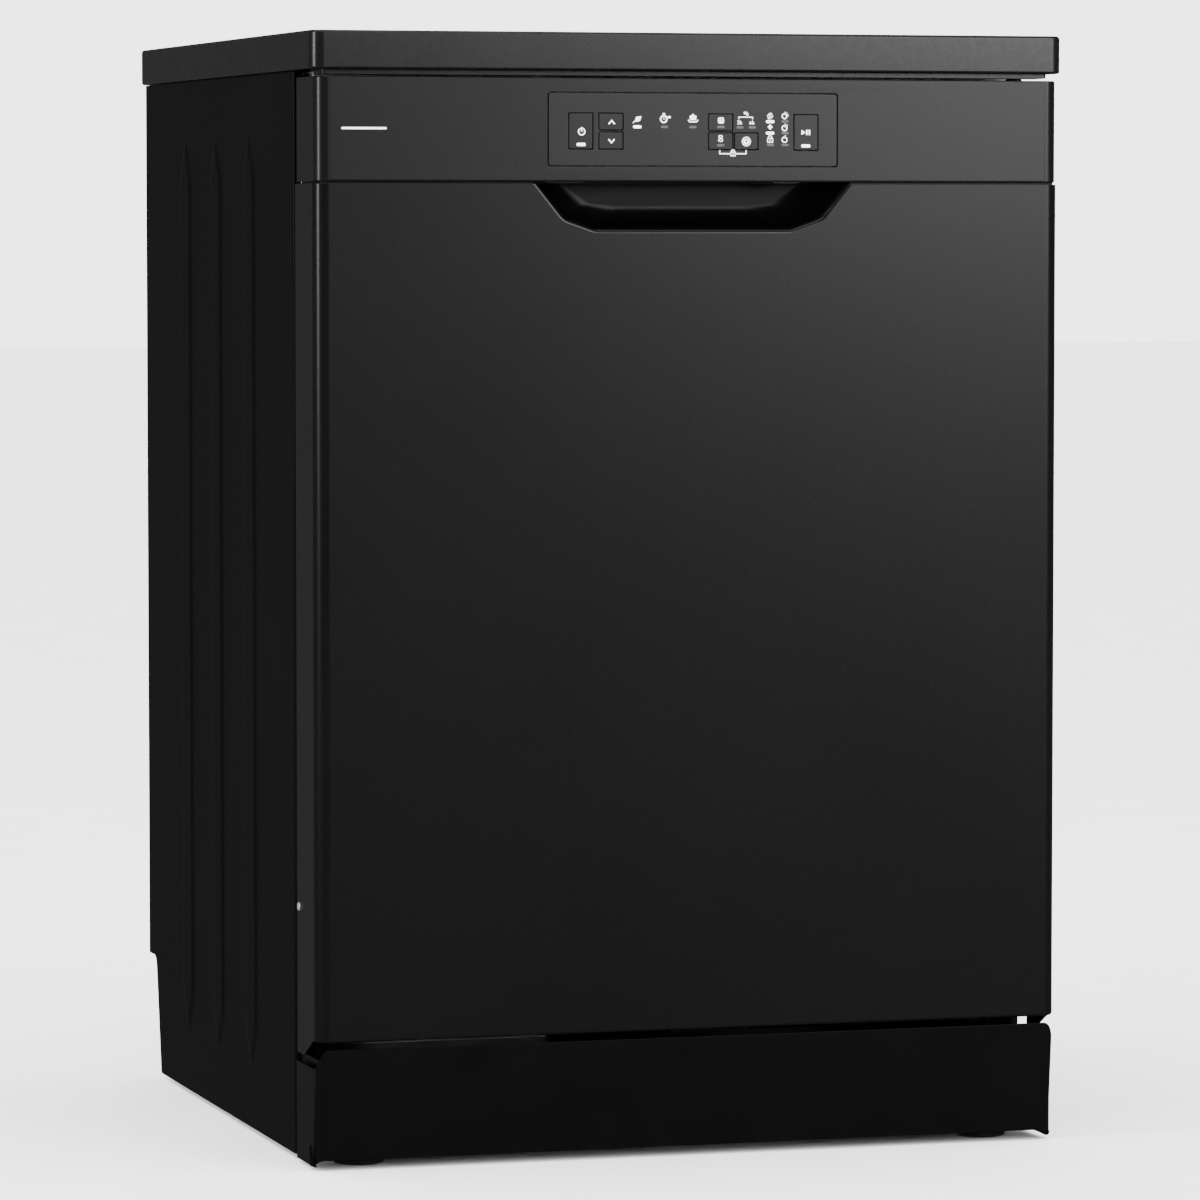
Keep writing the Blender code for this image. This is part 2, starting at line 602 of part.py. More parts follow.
def door_liner():
    """Stainless inner door, notched at its lower corners for the hinge arms."""
    x, front, back = DOOR_X - SKIN_T - GAP, LINER_FACE - 1.5, LINER_FACE
    liner = box("door_liner", (-x, front, 101), (x, back, 817.5), "stainless")
    for side in (-1, 1):
        low, high = sorted((side * 272, side * 300))
        cut(liner, box(f"arm_notch_{side}", (low, front - 5, 90), (high, back + 5, 232)))
        low, high = sorted((side * (x - 3), side * 300))
        cut(liner, box(f"panel_notch_{side}", (low, front - 5, 744), (high, back + 5, 830)))
    field = rounded(rectangle(-236, 236, 236, 740), 18, 4)
    join(liner, plate("liner_field", [field], "XZ", LINER_FACE - 0.5, LINER_FACE + 3))
    hollow = rounded(rectangle(-234.5, 234.5, 237.5, 738.5), 16.5, 4)
    cut(liner, plate("field_hollow", [hollow], "XZ", LINER_FACE - 5, LINER_FACE + 1.5))
    cut(liner, box("dispenser_hole", (-92.5, -260, DISPENSER_Z0 - 0.5), (92.5, -200, DISPENSER_Z1 + 0.5)))


def dispenser():
    """Detergent dispenser in the liner, with a cup under the flap and the rinse-aid bore."""
    low, high, cap_z = DISPENSER_Z0, DISPENSER_Z1, DISPENSER_Z0 + 78
    body = box("detergent_dispenser", (-92, -262, low), (92, -229, high), "grey_plastic", bevel=1.5)
    cut(body, box("detergent_cup", (-80, -256, low + 18), (-2, -220, high - 16)))
    cut(body, rod("rinse_aid_bore", (50, -230, cap_z), "Y", 21, 20, sides=24))
    lid_low, lid_high = (-82, -228.6, low + 16), (0, -225.4, high - 14)
    box("detergent_lid", lid_low, lid_high, "grey_plastic", (-41, -227, low + 16), bevel=1, segments=1)
    cap = [(0, 12), (15, 12), (19.5, 9), (19.5, 0), (0, 0)]
    turned("rinse_aid_cap", cap, "white_plastic", (50, -238, cap_z), 20, turn=(-math.pi / 2, 0, 0))


def hinge_arm(side, name):
    """Steel lever on the door: a strip up the door's side and a short arm back to the spring."""
    low, high = sorted((side * 283, side * 286))
    tip, low_edge = HINGE_Y - 12, HINGE_Z - 12
    outline = [(tip, low_edge), (-250, low_edge), (-180, 140), (-180, 156), (-243, 160), (-243, 400), (-262, 400),
               (tip, 180)]
    radii = [10, 10, 7, 7, 4, 4, 4, 10]
    pin_hole = circle(HINGE_Y, HINGE_Z, HINGE_PIN_R + 0.5, 16)
    pivot = (side * 284.5, HINGE_Y, HINGE_Z)
    plate(name, [rounded(outline, radii, 3), pin_hole], "YZ", low, high, "zinc_steel", pivot)


def door_latch():
    """Latch body at the top of the door, with the slot that the striker's tongue enters."""
    latch = box("door_latch", (-30, -260, 780), (30, -238.4, 822.4), "black_plastic", bevel=1.5, segments=1)
    cut(latch, box("latch_slot", (-15, -252, 817.6), (15, -230, 830)))


# ---------------------------------------------------------------- racks and spray arms


def lattice(name, plane, u_span, v_span, cells, at, look=None):
    """A flat grid of bars, WIRE wide and WIRE thick, centred on a plane."""
    (u0, u1), (v0, v1), (nu, nv) = u_span, v_span, cells
    step_u, step_v = (u1 - u0 - WIRE) / nu, (v1 - v0 - WIRE) / nv
    loops = [rectangle(u0, u1, v0, v1)]
    for i in range(nu):
        for k in range(nv):
            left, low = u0 + WIRE + i * step_u, v0 + WIRE + k * step_v
            loops.append(rectangle(left, left + step_u - WIRE, low, low + step_v - WIRE))
    return plate(name, loops, plane, at - WIRE / 2, at + WIRE / 2, look)


def wire_basket(name, size, look, cells, rows):
    """A basket of welded wire, open at the top: five grids joined at their edges."""
    nx, ny = cells
    x, y0, y1, z0, z1 = size["x"], size["y0"], size["y1"], size["z0"], size["z1"]
    basket = lattice(name, "XY", (-x - 1.5, x + 1.5), (y0 - 1.5, y1 + 1.5), cells, z0, look)
    for side in (-1, 1):
        join(basket, lattice(f"{name}_side_{side}", "YZ", (y0 - 1, y1 + 1), (z0 - 1, z1), (ny, rows), side * x))
    for k, y in enumerate((y0, y1)):
        join(basket, lattice(f"{name}_end_{k}", "XZ", (-x - 1, x + 1), (z0 - 0.6, z1 - 0.6), (nx, rows), y))
    return basket


def upper_rack():
    """Upper basket with its four wheels in the rails and the feed manifold of its spray arm."""
    rack = wire_basket("upper_rack", UPPER_RACK, "rack_coating", (5, 4), 2)
    x, z = UPPER_RACK["x"], RAIL_Z
    for side in (-1, 1):
        low, high = sorted((side * (x - 3), side * (x + 5)))
        join(rack, box(f"rack_bar_{side}", (low, -196, z - 5), (high, 218, z + 5)))
        for k, y in enumerate((60, 200)):
            join(rack, rod(f"rack_roller_{side}_{k}", (side * 255.4, y, z), "X", 7.2, 13, sides=16))
    join(rack, box("manifold", (-14, 10, UPPER_ARM_Z + 13), (14, 227, UPPER_RACK["z0"] + 0.7)))
    join(rack, rod("manifold_post", (SPRAY_X, SPRAY_Y, UPPER_ARM_Z + 8), "Z", 10, 20, sides=20))


def lower_rack():
    """Lower basket with four wheel axles on two side bars."""
    rack = wire_basket("lower_rack", LOWER_RACK, "rack_coating", (6, 4), 2)
    x = LOWER_RACK["x"]
    for side in (-1, 1):
        low, high = sorted((side * (x - 3), side * (x + 3)))
        for k, y in enumerate(WHEEL_YS):
            join(rack, box(f"axle_plate_{side}_{k}", (low, y - 14, 178), (high, y + 14, LOWER_RACK["z0"] + 4)))
            join(rack, rod(f"axle_{side}_{k}", (side * 256, y, TUB_Z0 + 0.8 + WHEEL_R), "X", 3.5, 14, sides=12))


def rack_wheels():
    """Four wheels of the lower rack."""
    names = ("front", "rear")
    for side, word in ((-1, "left"), (1, "right")):
        for row, y in zip(names, WHEEL_YS):
            pivot = (side * 257.5, y, TUB_Z0 + 0.8 + WHEEL_R)
            half = WHEEL_W / 2
            profile = [(4.2, half), (WHEEL_R - 2, half), (WHEEL_R, half - 2), (WHEEL_R, 2 - half),
                       (WHEEL_R - 2, -half), (4.2, -half)]
            turned(f"{row}_{word}_wheel", profile, "grey_plastic", pivot, 16, True, (0, math.pi / 2, 0))


def rails():
    """Telescopic rails of the upper rack: an H section that the tub's rollers and the rack's wheels share."""
    for side, word in ((-1, "left"), (1, "right")):
        web = sorted((side * 262.6, side * 264.4))
        low, high = sorted((side * 258.6, side * 268.8))
        z0, z1 = RAIL_Z - RAIL_H / 2, RAIL_Z + RAIL_H / 2
        rail = box(f"{word}_rail", (web[0], -205, z0 + 0.5), (web[1], 238, z1 - 0.5), "zinc_steel")
        join(rail, box(f"{word}_rail_top", (low, -205, z1 - 1.4), (high, 238, z1)))
        join(rail, box(f"{word}_rail_low", (low, -205, z0), (high, 238, z0 + 1.4)))


def spray_arm(name, z, hub_low, hub_high):
    """A hollow arm with a bearing hub that covers the post."""
    pivot = (SPRAY_X, SPRAY_Y, z)
    blade = [(-SPRAY_R, -13), (-40, -24), (40, -24), (SPRAY_R, -13), (SPRAY_R, 13), (40, 24), (-40, 24), (-SPRAY_R, 13)]
    outline = rounded([(u + SPRAY_X, v + SPRAY_Y) for u, v in blade], [12, 40, 40, 12, 12, 40, 40, 12], 3)
    arm = plate(name, [outline], "XY", z - 4, z + 4, "grey_plastic", pivot)
    middle = (hub_low + hub_high) / 2
    join(arm, rod(name + "_hub", (SPRAY_X, SPRAY_Y, middle), "Z", 16, hub_high - hub_low, sides=24))
    return arm


def spray_arms():
    lower = spray_arm("lower_spray_arm", LOWER_ARM_Z, LOWER_ARM_Z - 12, LOWER_ARM_Z + 5)
    cut(lower, rod("lower_hub_bore", (SPRAY_X, SPRAY_Y, LOWER_ARM_Z - 22), "Z", 11, 40, sides=24))
    upper = spray_arm("upper_spray_arm", UPPER_ARM_Z, UPPER_ARM_Z - 5, UPPER_ARM_Z + 10)
    cut(upper, rod("upper_hub_bore", (SPRAY_X, SPRAY_Y, UPPER_ARM_Z + 17), "Z", 11, 40, sides=24))


def cutlery_basket():
    """Lift-out basket with six cells, in the front right of the lower rack."""
    x0, x1, y0, y1, z0, z1 = 150, 236, -180, 20, LOWER_RACK["z0"] + 4, 345
    basket = box("cutlery_basket", (x0, y0, z0), (x1, y1, z1), "grey_plastic", (193, -80, z0))
    wall, bays, lanes = 2.5, 3, 2
    step_x, step_y = (x1 - x0 - wall) / lanes, (y1 - y0 - wall) / bays
    for i in range(lanes):
        for k in range(bays):
            low = (x0 + wall + i * step_x, y0 + wall + k * step_y, z0 + wall)
            high = (x0 + (i + 1) * step_x, y0 + (k + 1) * step_y, z1 + 5)
            cut(basket, box(f"cutlery_cell_{i}{k}", low, high))


worktop()
side_panel(-1, "left_side_panel")
side_panel(1, "right_side_panel")
rear_panel()
base_tray()
kick_plate()
front_crossbar()
tub_shell()
tub_floor()
door_gasket()
sump_parts()
pumps_and_water()
salt_cap()
for which, word in ((-1, "left"), (1, "right")):
    hinge_bracket(which, f"{word}_hinge_bracket")
    door_spring(which, f"{word}_door_spring")
    hinge_arm(which, f"{word}_hinge_arm")
feet()
door_front_panel()
handle_pocket()
control_panel()
control_insert()
buttons()
control_board_box()
door_liner()
dispenser()
door_latch()
upper_rack()
lower_rack()
rack_wheels()
rails()
spray_arms()
cutlery_basket()
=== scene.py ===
"""Looks of a free-standing black dishwasher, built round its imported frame.

The sections go from the outside in: worktop, cabinet, base and feet, the door with its control panel,
the tub and its water parts, the inner door, and at last the racks, the spray arms and the basket.
Sizes are in millimetres and are turned to metres by MM.
"""

import math

import bmesh
import bpy
from mathutils import Matrix, Vector


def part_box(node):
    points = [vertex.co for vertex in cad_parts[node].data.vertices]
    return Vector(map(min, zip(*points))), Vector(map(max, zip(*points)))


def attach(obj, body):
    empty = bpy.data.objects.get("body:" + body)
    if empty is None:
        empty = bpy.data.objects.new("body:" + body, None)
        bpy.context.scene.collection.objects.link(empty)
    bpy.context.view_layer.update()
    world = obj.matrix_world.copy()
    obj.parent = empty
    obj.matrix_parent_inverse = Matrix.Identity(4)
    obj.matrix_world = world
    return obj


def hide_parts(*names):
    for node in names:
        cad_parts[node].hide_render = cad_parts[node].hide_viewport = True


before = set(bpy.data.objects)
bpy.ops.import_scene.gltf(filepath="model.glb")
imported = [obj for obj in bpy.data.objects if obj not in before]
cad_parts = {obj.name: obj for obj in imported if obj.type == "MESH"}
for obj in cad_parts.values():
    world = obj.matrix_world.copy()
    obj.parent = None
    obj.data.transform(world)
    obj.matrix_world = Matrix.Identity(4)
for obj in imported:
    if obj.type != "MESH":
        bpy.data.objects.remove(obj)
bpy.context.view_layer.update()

# ------------------------------------------------------------------ studio
# A white room with a pale floor. The room lights the machine softly but is dim where it is mirrored;
# soft panels are what the paint mirrors: the sheen on the door and the bright line on its corners.

EYE = (-1.413, -4.805, 0.716)
YAW, PITCH = -0.2888, -0.0608
SENSOR, LENS = 36, 185.85
ROOM, MIRRORED_ROOM = 3.8, 0.13  # how bright the room is, and how bright it looks in gloss
FLOOR_HALF = 30

camera = bpy.data.objects.new("camera", bpy.data.cameras.new("camera"))
camera.location = EYE
camera.rotation_euler = (math.pi / 2 + PITCH, 0, YAW)
camera.data.sensor_width = SENSOR
camera.data.lens = LENS
bpy.context.scene.collection.objects.link(camera)
bpy.context.scene.camera = camera


def soft_panel(name, place, target, width, height, watts):
    """A rectangular area light that faces a point."""
    data = bpy.data.lights.new(name, "AREA")
    data.shape = "RECTANGLE"
    data.size = width
    data.size_y = height
    data.energy = watts
    lamp = bpy.data.objects.new(name, data)
    lamp.location = place
    lamp.rotation_euler = (Vector(target) - Vector(place)).to_track_quat("-Z", "Y").to_euler()
    bpy.context.scene.collection.objects.link(lamp)


soft_panel("front_panel", (2.75, -4.9, 2.15), (0.1, -0.3, 0.75), 2.6, 2.6, 280)
soft_panel("left_strip", (-2.9, -0.75, 1.35), (-0.3, -0.3, 0.85), 0.5, 1.4, 60)
soft_panel("top_panel", (-0.2, -0.4, 3.3), (0, 0, 0.5), 2.6, 2.6, 60)

world = bpy.data.worlds.new("studio")
bpy.context.scene.world = world
world.use_nodes = True
room = world.node_tree
room.nodes["Background"].inputs["Color"].default_value = (1, 1, 1, 1)
dimmed = room.nodes.new("ShaderNodeMapRange")
dimmed.inputs["To Min"].default_value = ROOM
dimmed.inputs["To Max"].default_value = MIRRORED_ROOM
room.links.new(room.nodes.new("ShaderNodeLightPath").outputs["Is Glossy Ray"], dimmed.inputs["Value"])
room.links.new(dimmed.outputs["Result"], room.nodes["Background"].inputs["Strength"])

floor_bm = bmesh.new()
bmesh.ops.create_grid(floor_bm, x_segments=2, y_segments=2, size=FLOOR_HALF)
floor_mesh = bpy.data.meshes.new("floor")
floor_bm.to_mesh(floor_mesh)
floor_bm.free()
floor = bpy.data.objects.new("floor", floor_mesh)
bpy.context.scene.collection.objects.link(floor)
floor.visible_glossy = False


def linear(colour):
    """A six-digit sRGB colour as linear red, green, blue and alpha."""
    parts = [int(colour[i : i + 2], 16) / 255 for i in (0, 2, 4)]
    return (*[c / 12.92 if c <= 0.04045 else ((c + 0.055) / 1.055) ** 2.4 for c in parts], 1.0)


def add_node(tree, kind, settings=None, links=None):
    """Add a node, set its sockets or properties by name, and link its inputs."""
    node = tree.nodes.new(kind)
    for key, value in (settings or {}).items():
        if hasattr(node, key):
            setattr(node, key, value)
        else:
            node.inputs[key].default_value = value
    for key, source in (links or {}).items():
        tree.links.new(source, node.inputs[key])
    return node


def surface(name, tones, drift, grain, gloss, relief, stretch=(1, 1, 1), **settings):
    """A finish: two tones that drift over some millimetres, and a grain that sets sheen and relief.

    drift and grain are sizes in millimetres, gloss is the roughness from crest to hollow, relief is
    the grain's height in millimetres, and stretch pulls the grain out along an axis.
    """
    mat = bpy.data.materials.new(name)
    mat.use_nodes = True
    tree = mat.node_tree
    tree.nodes.clear()
    shader = add_node(tree, "ShaderNodeBsdfPrincipled")
    for key, value in settings.items():
        shader.inputs[key.replace("_", " ")].default_value = value
    add_node(tree, "ShaderNodeOutputMaterial", links={"Surface": shader.outputs[0]})
    coords = add_node(tree, "ShaderNodeTexCoord").outputs["Object"]
    clouds = add_node(tree, "ShaderNodeTexNoise", {"Scale": 1000 / drift, "Detail": 3.0}, {"Vector": coords})
    spread = add_node(tree, "ShaderNodeMapRange", {"From Min": 0.35, "From Max": 0.65},
                      {"Value": clouds.outputs["Fac"]})
    tint = add_node(tree, "ShaderNodeMix", {"data_type": "RGBA"}, {"Factor": spread.outputs["Result"]})
    for socket, tone in zip([s for s in tint.inputs if s.type == "RGBA"], tones):
        socket.default_value = linear(tone)
    tree.links.new([s for s in tint.outputs if s.type == "RGBA"][0], shader.inputs["Base Color"])
    pulled = add_node(tree, "ShaderNodeMapping", {"Scale": stretch}, {"Vector": coords})
    speckle = add_node(tree, "ShaderNodeTexNoise", {"Scale": 1000 / grain, "Detail": 2.0, "Roughness": 0.55},
                       {"Vector": pulled.outputs["Vector"]})
    sheen = add_node(tree, "ShaderNodeMapRange",
                     {"From Min": 0.3, "From Max": 0.7, "To Min": gloss[0], "To Max": gloss[1]},
                     {"Value": speckle.outputs["Fac"]})
    tree.links.new(sheen.outputs["Result"], shader.inputs["Roughness"])
    bump = add_node(tree, "ShaderNodeBump", {"Strength": 1.0, "Distance": relief / 1000},
                    {"Height": speckle.outputs["Fac"]})
    tree.links.new(bump.outputs["Normal"], shader.inputs["Normal"])
    return mat


# Painted screed: pale and matt, with a faint cloudiness a hand's breadth across.
floor_mesh.materials.append(surface("painted_screed", ("f6f6f5", "fafaf9"), 120, 3, (0.85, 0.95), 0.02))

# ------------------------------------------------------------------ worktop
# A chipboard top, 29 mm thick, faced with black melamine film on both sides and closed round its edge
# with a glued ABS band whose edges are rounded over. It lies on the side panels' top folds.

MM = 0.001
PLANES = {
    "XY": Matrix.Identity(4),
    "XZ": Matrix(((1, 0, 0, 0), (0, 0, -1, 0), (0, 1, 0, 0), (0, 0, 0, 1))),
    "YZ": Matrix(((0, 0, 1, 0), (1, 0, 0, 0), (0, 1, 0, 0), (0, 0, 0, 1))),
}
ACROSS = {"XY": Vector((0, 0, 1)), "XZ": Vector((0, 1, 0)), "YZ": Vector((1, 0, 0))}


def size_of(node):
    """A CAD node's lowest and highest corner in millimetres."""
    low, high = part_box(node)
    return Vector(low) / MM, Vector(high) / MM


def rounded(points, radii, steps=5):
    """The polygon with each corner replaced by an arc of its radius."""
    out = []
    for i, point in enumerate(points):
        radius = radii[i] if isinstance(radii, (list, tuple)) else radii
        here = Vector(point)
        if not radius:
            out.append(tuple(here))
            continue
        before = (Vector(points[i - 1]) - here).normalized()
        after = (Vector(points[(i + 1) % len(points)]) - here).normalized()
        half = before.angle(after) / 2
        centre = here + (before + after).normalized() * (radius / math.sin(half))
        arm = here + before * (radius / math.tan(half)) - centre
        sweep = arm.angle_signed(here + after * (radius / math.tan(half)) - centre)
        for k in range(steps + 1):
            turned = arm.copy()
            turned.rotate(Matrix.Rotation(-sweep * k / steps, 2))
            out.append(tuple(centre + turned))
    return out


def rectangle(u0, u1, v0, v1):
    return [(u0, v0), (u1, v0), (u1, v1), (u0, v1)]


def circle(u, v, radius, steps=32):
    turns = [2 * math.pi * k / steps for k in range(steps)]
    return [(u + radius * math.cos(a), v + radius * math.sin(a)) for a in turns]


def prism(outline, plane, low, high, bm=None):
    """A flat outline extruded across its plane, as a closed body in metres."""
    bm = bm or bmesh.new()
    rings = []
    for level in (low, high):
        rings.append([bm.verts.new((PLANES[plane] @ Vector((u, v, 0)) + ACROSS[plane] * level) * MM)
                      for u, v in outline])
    faces = [bm.faces.new(rings[0]), bm.faces.new(rings[1])]
    for i, start in enumerate(rings[0]):
        k = (i + 1) % len(outline)
        faces.append(bm.faces.new((start, rings[0][k], rings[1][k], rings[1][i])))
    bmesh.ops.recalc_face_normals(bm, faces=faces)
    return bm


def bevel(bm, width, segments=2, pick=None, angle=40):
    """Round the edges that are sharper than the angle and that pick() accepts, in millimetres."""
    limit = math.radians(angle)
    edges = [
        e for e in bm.edges
        if len(e.link_faces) == 2 and e.calc_face_angle(0) > limit
        and (pick is None or pick(e.verts[0].co / MM, e.verts[1].co / MM))
    ]
    bmesh.ops.bevel(bm, geom=edges, offset=width * MM, segments=segments, profile=0.5, affect="EDGES",
                    clamp_overlap=True)
    return bm


def smooth(obj, angle):
    """Shade rounded edges smoothly, keep flat faces flat, and break the shading at sharp edges."""
    obj.data.shade_smooth()
    obj.data.set_sharp_from_angle(angle=math.radians(angle))
    weigh = obj.modifiers.new("normals", "WEIGHTED_NORMAL")
    weigh.keep_sharp = True


def piece(name, source, body, material, replaces=(), angle=35):
    """Turn a bmesh into a shown piece that rides on a body and takes a material slot."""
    mesh = bpy.data.meshes.new(name)
    source.to_mesh(mesh)
    source.free()
    mesh.materials.append(material)
    obj = bpy.data.objects.new(name, mesh)
    bpy.context.scene.collection.objects.link(obj)
    smooth(obj, angle)
    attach(obj, body)
    if replaces:
        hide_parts(*replaces)
    return obj


# Melamine film: near black, pressed with a pearl grain about a millimetre across.
melamine = surface("melamine_film_black", ("060606", "080808"), 90, 1.1, (0.34, 0.46), 0.004,
                   Specular_IOR_Level=0.2)
# Extruded ABS band: the same black, smoother, with a faint waviness along its length.
edge_band = surface("abs_edge_band_black", ("070707", "090909"), 40, 6, (0.26, 0.3), 0.001,
                    Specular_IOR_Level=0.3)

top_low, top_high = size_of("worktop")
TOP_R, BAND, FILM, BAND_SUNK = 10, 1.2, 1.0, 0.35
BATTEN_LOW = 827.4
corners = rectangle(top_low.x, top_high.x, top_low.y, top_high.y)
band_bm = prism(rounded(corners, TOP_R, 10), "XY", top_low.z, top_high.z - BAND_SUNK)
bevel(band_bm, 1.8, 4, angle=60)
piece("worktop_edge_band", band_bm, "cabinet", edge_band, ["worktop"])
corners = rectangle(top_low.x + BAND, top_high.x - BAND, top_low.y + BAND, top_high.y - BAND)
film_bm = prism(rounded(corners, TOP_R - BAND, 10), "XY", top_high.z - FILM, top_high.z)
bevel(film_bm, 0.3, 2, angle=60)
piece("worktop_film", film_bm, "cabinet", melamine)
# A batten under its front edge closes the gap above the control panel.
batten = prism(rounded(rectangle(-288.5, 288.5, -291, -262), 2, 4), "XY", BATTEN_LOW, top_low.z)
piece("worktop_batten", batten, "cabinet", edge_band)

# ------------------------------------------------------------------ side panels
# Steel sheet, 0.9 mm, folded inwards at its front edge with a 2 mm radius, pressed with three long
# stiffening ribs whose ends run out to a point, notched at the back for the base, and powder coated.

# Powder coat: satin black with a low orange peel, about 3 mm from crest to crest.
coat = surface("powder_coat_black", ("040404", "050505"), 150, 3.2, (0.36, 0.42), 0.0015,
               Specular_IOR_Level=0.07)

SIDE_FACE, FOLD_R, FOLD_DEPTH, SHEET = 294.5, 2.2, 6, 0.9
RIB_YS, RIB_HALF, RIB_LOW, RIB_HIGH, RIB_H, RIB_POINT = (146, 37, -77), 21.7, 50, 785, 1.3, 34
NOTCH_Z, NOTCH_Y, TOE_Y, NOTCH_R = 101, 270, 252, 9  # the rear edge steps in above the base


def strip(lines, bm=None):
    """A sheet through rows of points in millimetres, each row as long as the last."""
    bm = bm or bmesh.new()
    rows = [[bm.verts.new(Vector(p) * MM) for p in line] for line in lines]
    for a, b in zip(rows, rows[1:]):
        for i in range(len(a) - 1):
            bm.faces.new((a[i], a[i + 1], b[i + 1], b[i]))
    return bm


def settle(obj, angle=35):
    """Apply an object's modifiers to its mesh, and shade it afresh."""
    bpy.context.view_layer.update()
    solid = bpy.data.meshes.new_from_object(obj.evaluated_get(bpy.context.evaluated_depsgraph_get()))
    obj.modifiers.clear()
    obj.data = solid
    smooth(obj, angle)


def thicken(obj, thickness, offset):
    """Give a sheet its thickness. An offset of -1 grows it against its normals, and 1 along them."""
    wall = obj.modifiers.new("sheet", "SOLIDIFY")
    wall.thickness = thickness * MM
    wall.offset = offset
    wall.use_even_offset = True


def carve(obj, *cutters):
    """Take cutter bodies out of a piece."""
    for source in cutters:
        mesh = bpy.data.meshes.new("cutter")
        source.to_mesh(mesh)
        source.free()
        tool = bpy.data.objects.new("cutter", mesh)
        bpy.context.scene.collection.objects.link(tool)
        cut = obj.modifiers.new("cut", "BOOLEAN")
        cut.operation = "DIFFERENCE"
        cut.object = tool
        settle(obj)
        bpy.data.objects.remove(tool, do_unlink=True)


def rib_outline(centre, half, low, high, point, steps=9):
    """A long rib's outline: straight sides, and ends that curve in to a point."""
    runs = [math.sin(math.pi / 2 * k / steps) for k in range(steps + 1)]
    right = [(centre + half * (1 - r ** 1.7), high - point * (1 - r)) for r in runs]
    top = right + [(2 * centre - u, v) for u, v in reversed(right[:-1])]
    return top + [(u, low + high - v) for u, v in reversed(top)]


def pillow(rings, place, bm):
    """A pressed rib: rings of one length that step in as they rise, closed below by a flat face."""
    rows = [[bm.verts.new(place(u, v, height) * MM) for u, v in ring] for ring, height in rings]
    for a, b in zip(rows, rows[1:]):
        for i, start in enumerate(a):
            k = (i + 1) % len(a)
            bm.faces.new((start, a[k], b[k], b[i]))
    bm.faces.new(rows[0])
    bm.faces.new(rows[-1])


def rib_rings(centre, half, low, high, height, run, steps=7):
    """Rings of a rib whose flank rises softly over the run and settles to a flat crown."""
    rings = []
    for k in range(steps + 1):
        share = k / steps
        inset = run * share
        ring = rib_outline(centre, half - inset, low + inset * 1.6, high - inset * 1.6, RIB_POINT)
        rings.append((ring, height * (3 * share ** 2 - 2 * share ** 3)))
    return rings


for side, node in ((-1, "left_side_panel"), (1, "right_side_panel")):
    low, high = size_of(node)
    plan = [(SIDE_FACE, high.y), (SIDE_FACE, low.y + FOLD_R)]
    for k in range(1, 7):
        angle = math.pi / 2 * k / 6
        plan.append((SIDE_FACE - FOLD_R * (1 - math.cos(angle)), low.y + FOLD_R * (1 - math.sin(angle))))
    plan.append((SIDE_FACE - FOLD_DEPTH, low.y))
    sheet = strip([[(side * x, y, z) for x, y in plan] for z in (low.z, high.z)])
    panel = piece(node + "_sheet", sheet, "cabinet", coat, [node])
    thicken(panel, SHEET, -math.copysign(1, panel.data.polygons[0].normal.x * side))
    notch = [(TOE_Y, low.z - 20), (320, low.z - 20), (320, NOTCH_Z), (NOTCH_Y, NOTCH_Z), (TOE_Y, low.z)]
    carve(panel, prism(rounded(notch, [0, 0, 0, NOTCH_R, 0], 6), "YZ", -330, 330))
    ribs = bmesh.new()
    for y in RIB_YS:
        pillow(rib_rings(y, RIB_HALF, RIB_LOW, RIB_HIGH, RIB_H, 9),
               lambda u, v, h: Vector((side * (SIDE_FACE - 0.05 + h), u, v)), ribs)
    bmesh.ops.recalc_face_normals(ribs, faces=ribs.faces)
    piece(node + "_ribs", ribs, "cabinet", coat, angle=50)

# ------------------------------------------------------------------ rear panel
# Bare zinc-plated sheet that closes the back, screwed on round its edge, with two pressed panels
# that keep it from drumming and a row of slots low down where warm air leaves.

# Zinc plate: pale grey metal with a dull, slightly blotchy sheen from the passivated coat.
zinc = surface("zinc_plated_steel", ("8f9294", "a2a5a6"), 22, 0.7, (0.34, 0.5), 0.004, Metallic=0.6)
# Zinc-plated screws, turned and tumbled: brighter and smoother than the sheet.
screw_zinc = surface("tumbled_zinc_screw", ("a4a6a7", "b4b6b6"), 3, 0.4, (0.25, 0.38), 0.004, Metallic=0.75)


def plate(loops, plane, low, high, edge=0.0, curve_steps=2):
    """A flat plate with holes: the first loop is its outline. Its edges are rounded by edge."""
    curve = bpy.data.curves.new("plate", "CURVE")
    curve.dimensions = "2D"
    curve.fill_mode = "BOTH"
    for loop in loops:
        spline = curve.splines.new("POLY")
        spline.points.add(len(loop) - 1)
        for point, (u, v) in zip(spline.points, loop):
            point.co = (u * MM, v * MM, 0, 1)
        spline.use_cyclic_u = True
    curve.extrude = ((high - low) / 2 - edge) * MM
    curve.bevel_depth = edge * MM
    curve.bevel_resolution = curve_steps
    curve.offset = -edge * MM
    obj = bpy.data.objects.new("plate", curve)
    bpy.context.scene.collection.objects.link(obj)
    bpy.context.view_layer.update()
    mesh = bpy.data.meshes.new_from_object(obj.evaluated_get(bpy.context.evaluated_depsgraph_get()))
    bpy.data.objects.remove(obj, do_unlink=True)
    mesh.transform(Matrix.Translation(ACROSS[plane] * (low + high) / 2 * MM) @ PLANES[plane])
    bm = bmesh.new()
    bm.from_mesh(mesh)
    bpy.data.meshes.remove(mesh)
    bmesh.ops.remove_doubles(bm, verts=bm.verts, dist=0.00001)
    bmesh.ops.recalc_face_normals(bm, faces=bm.faces)
    return bm


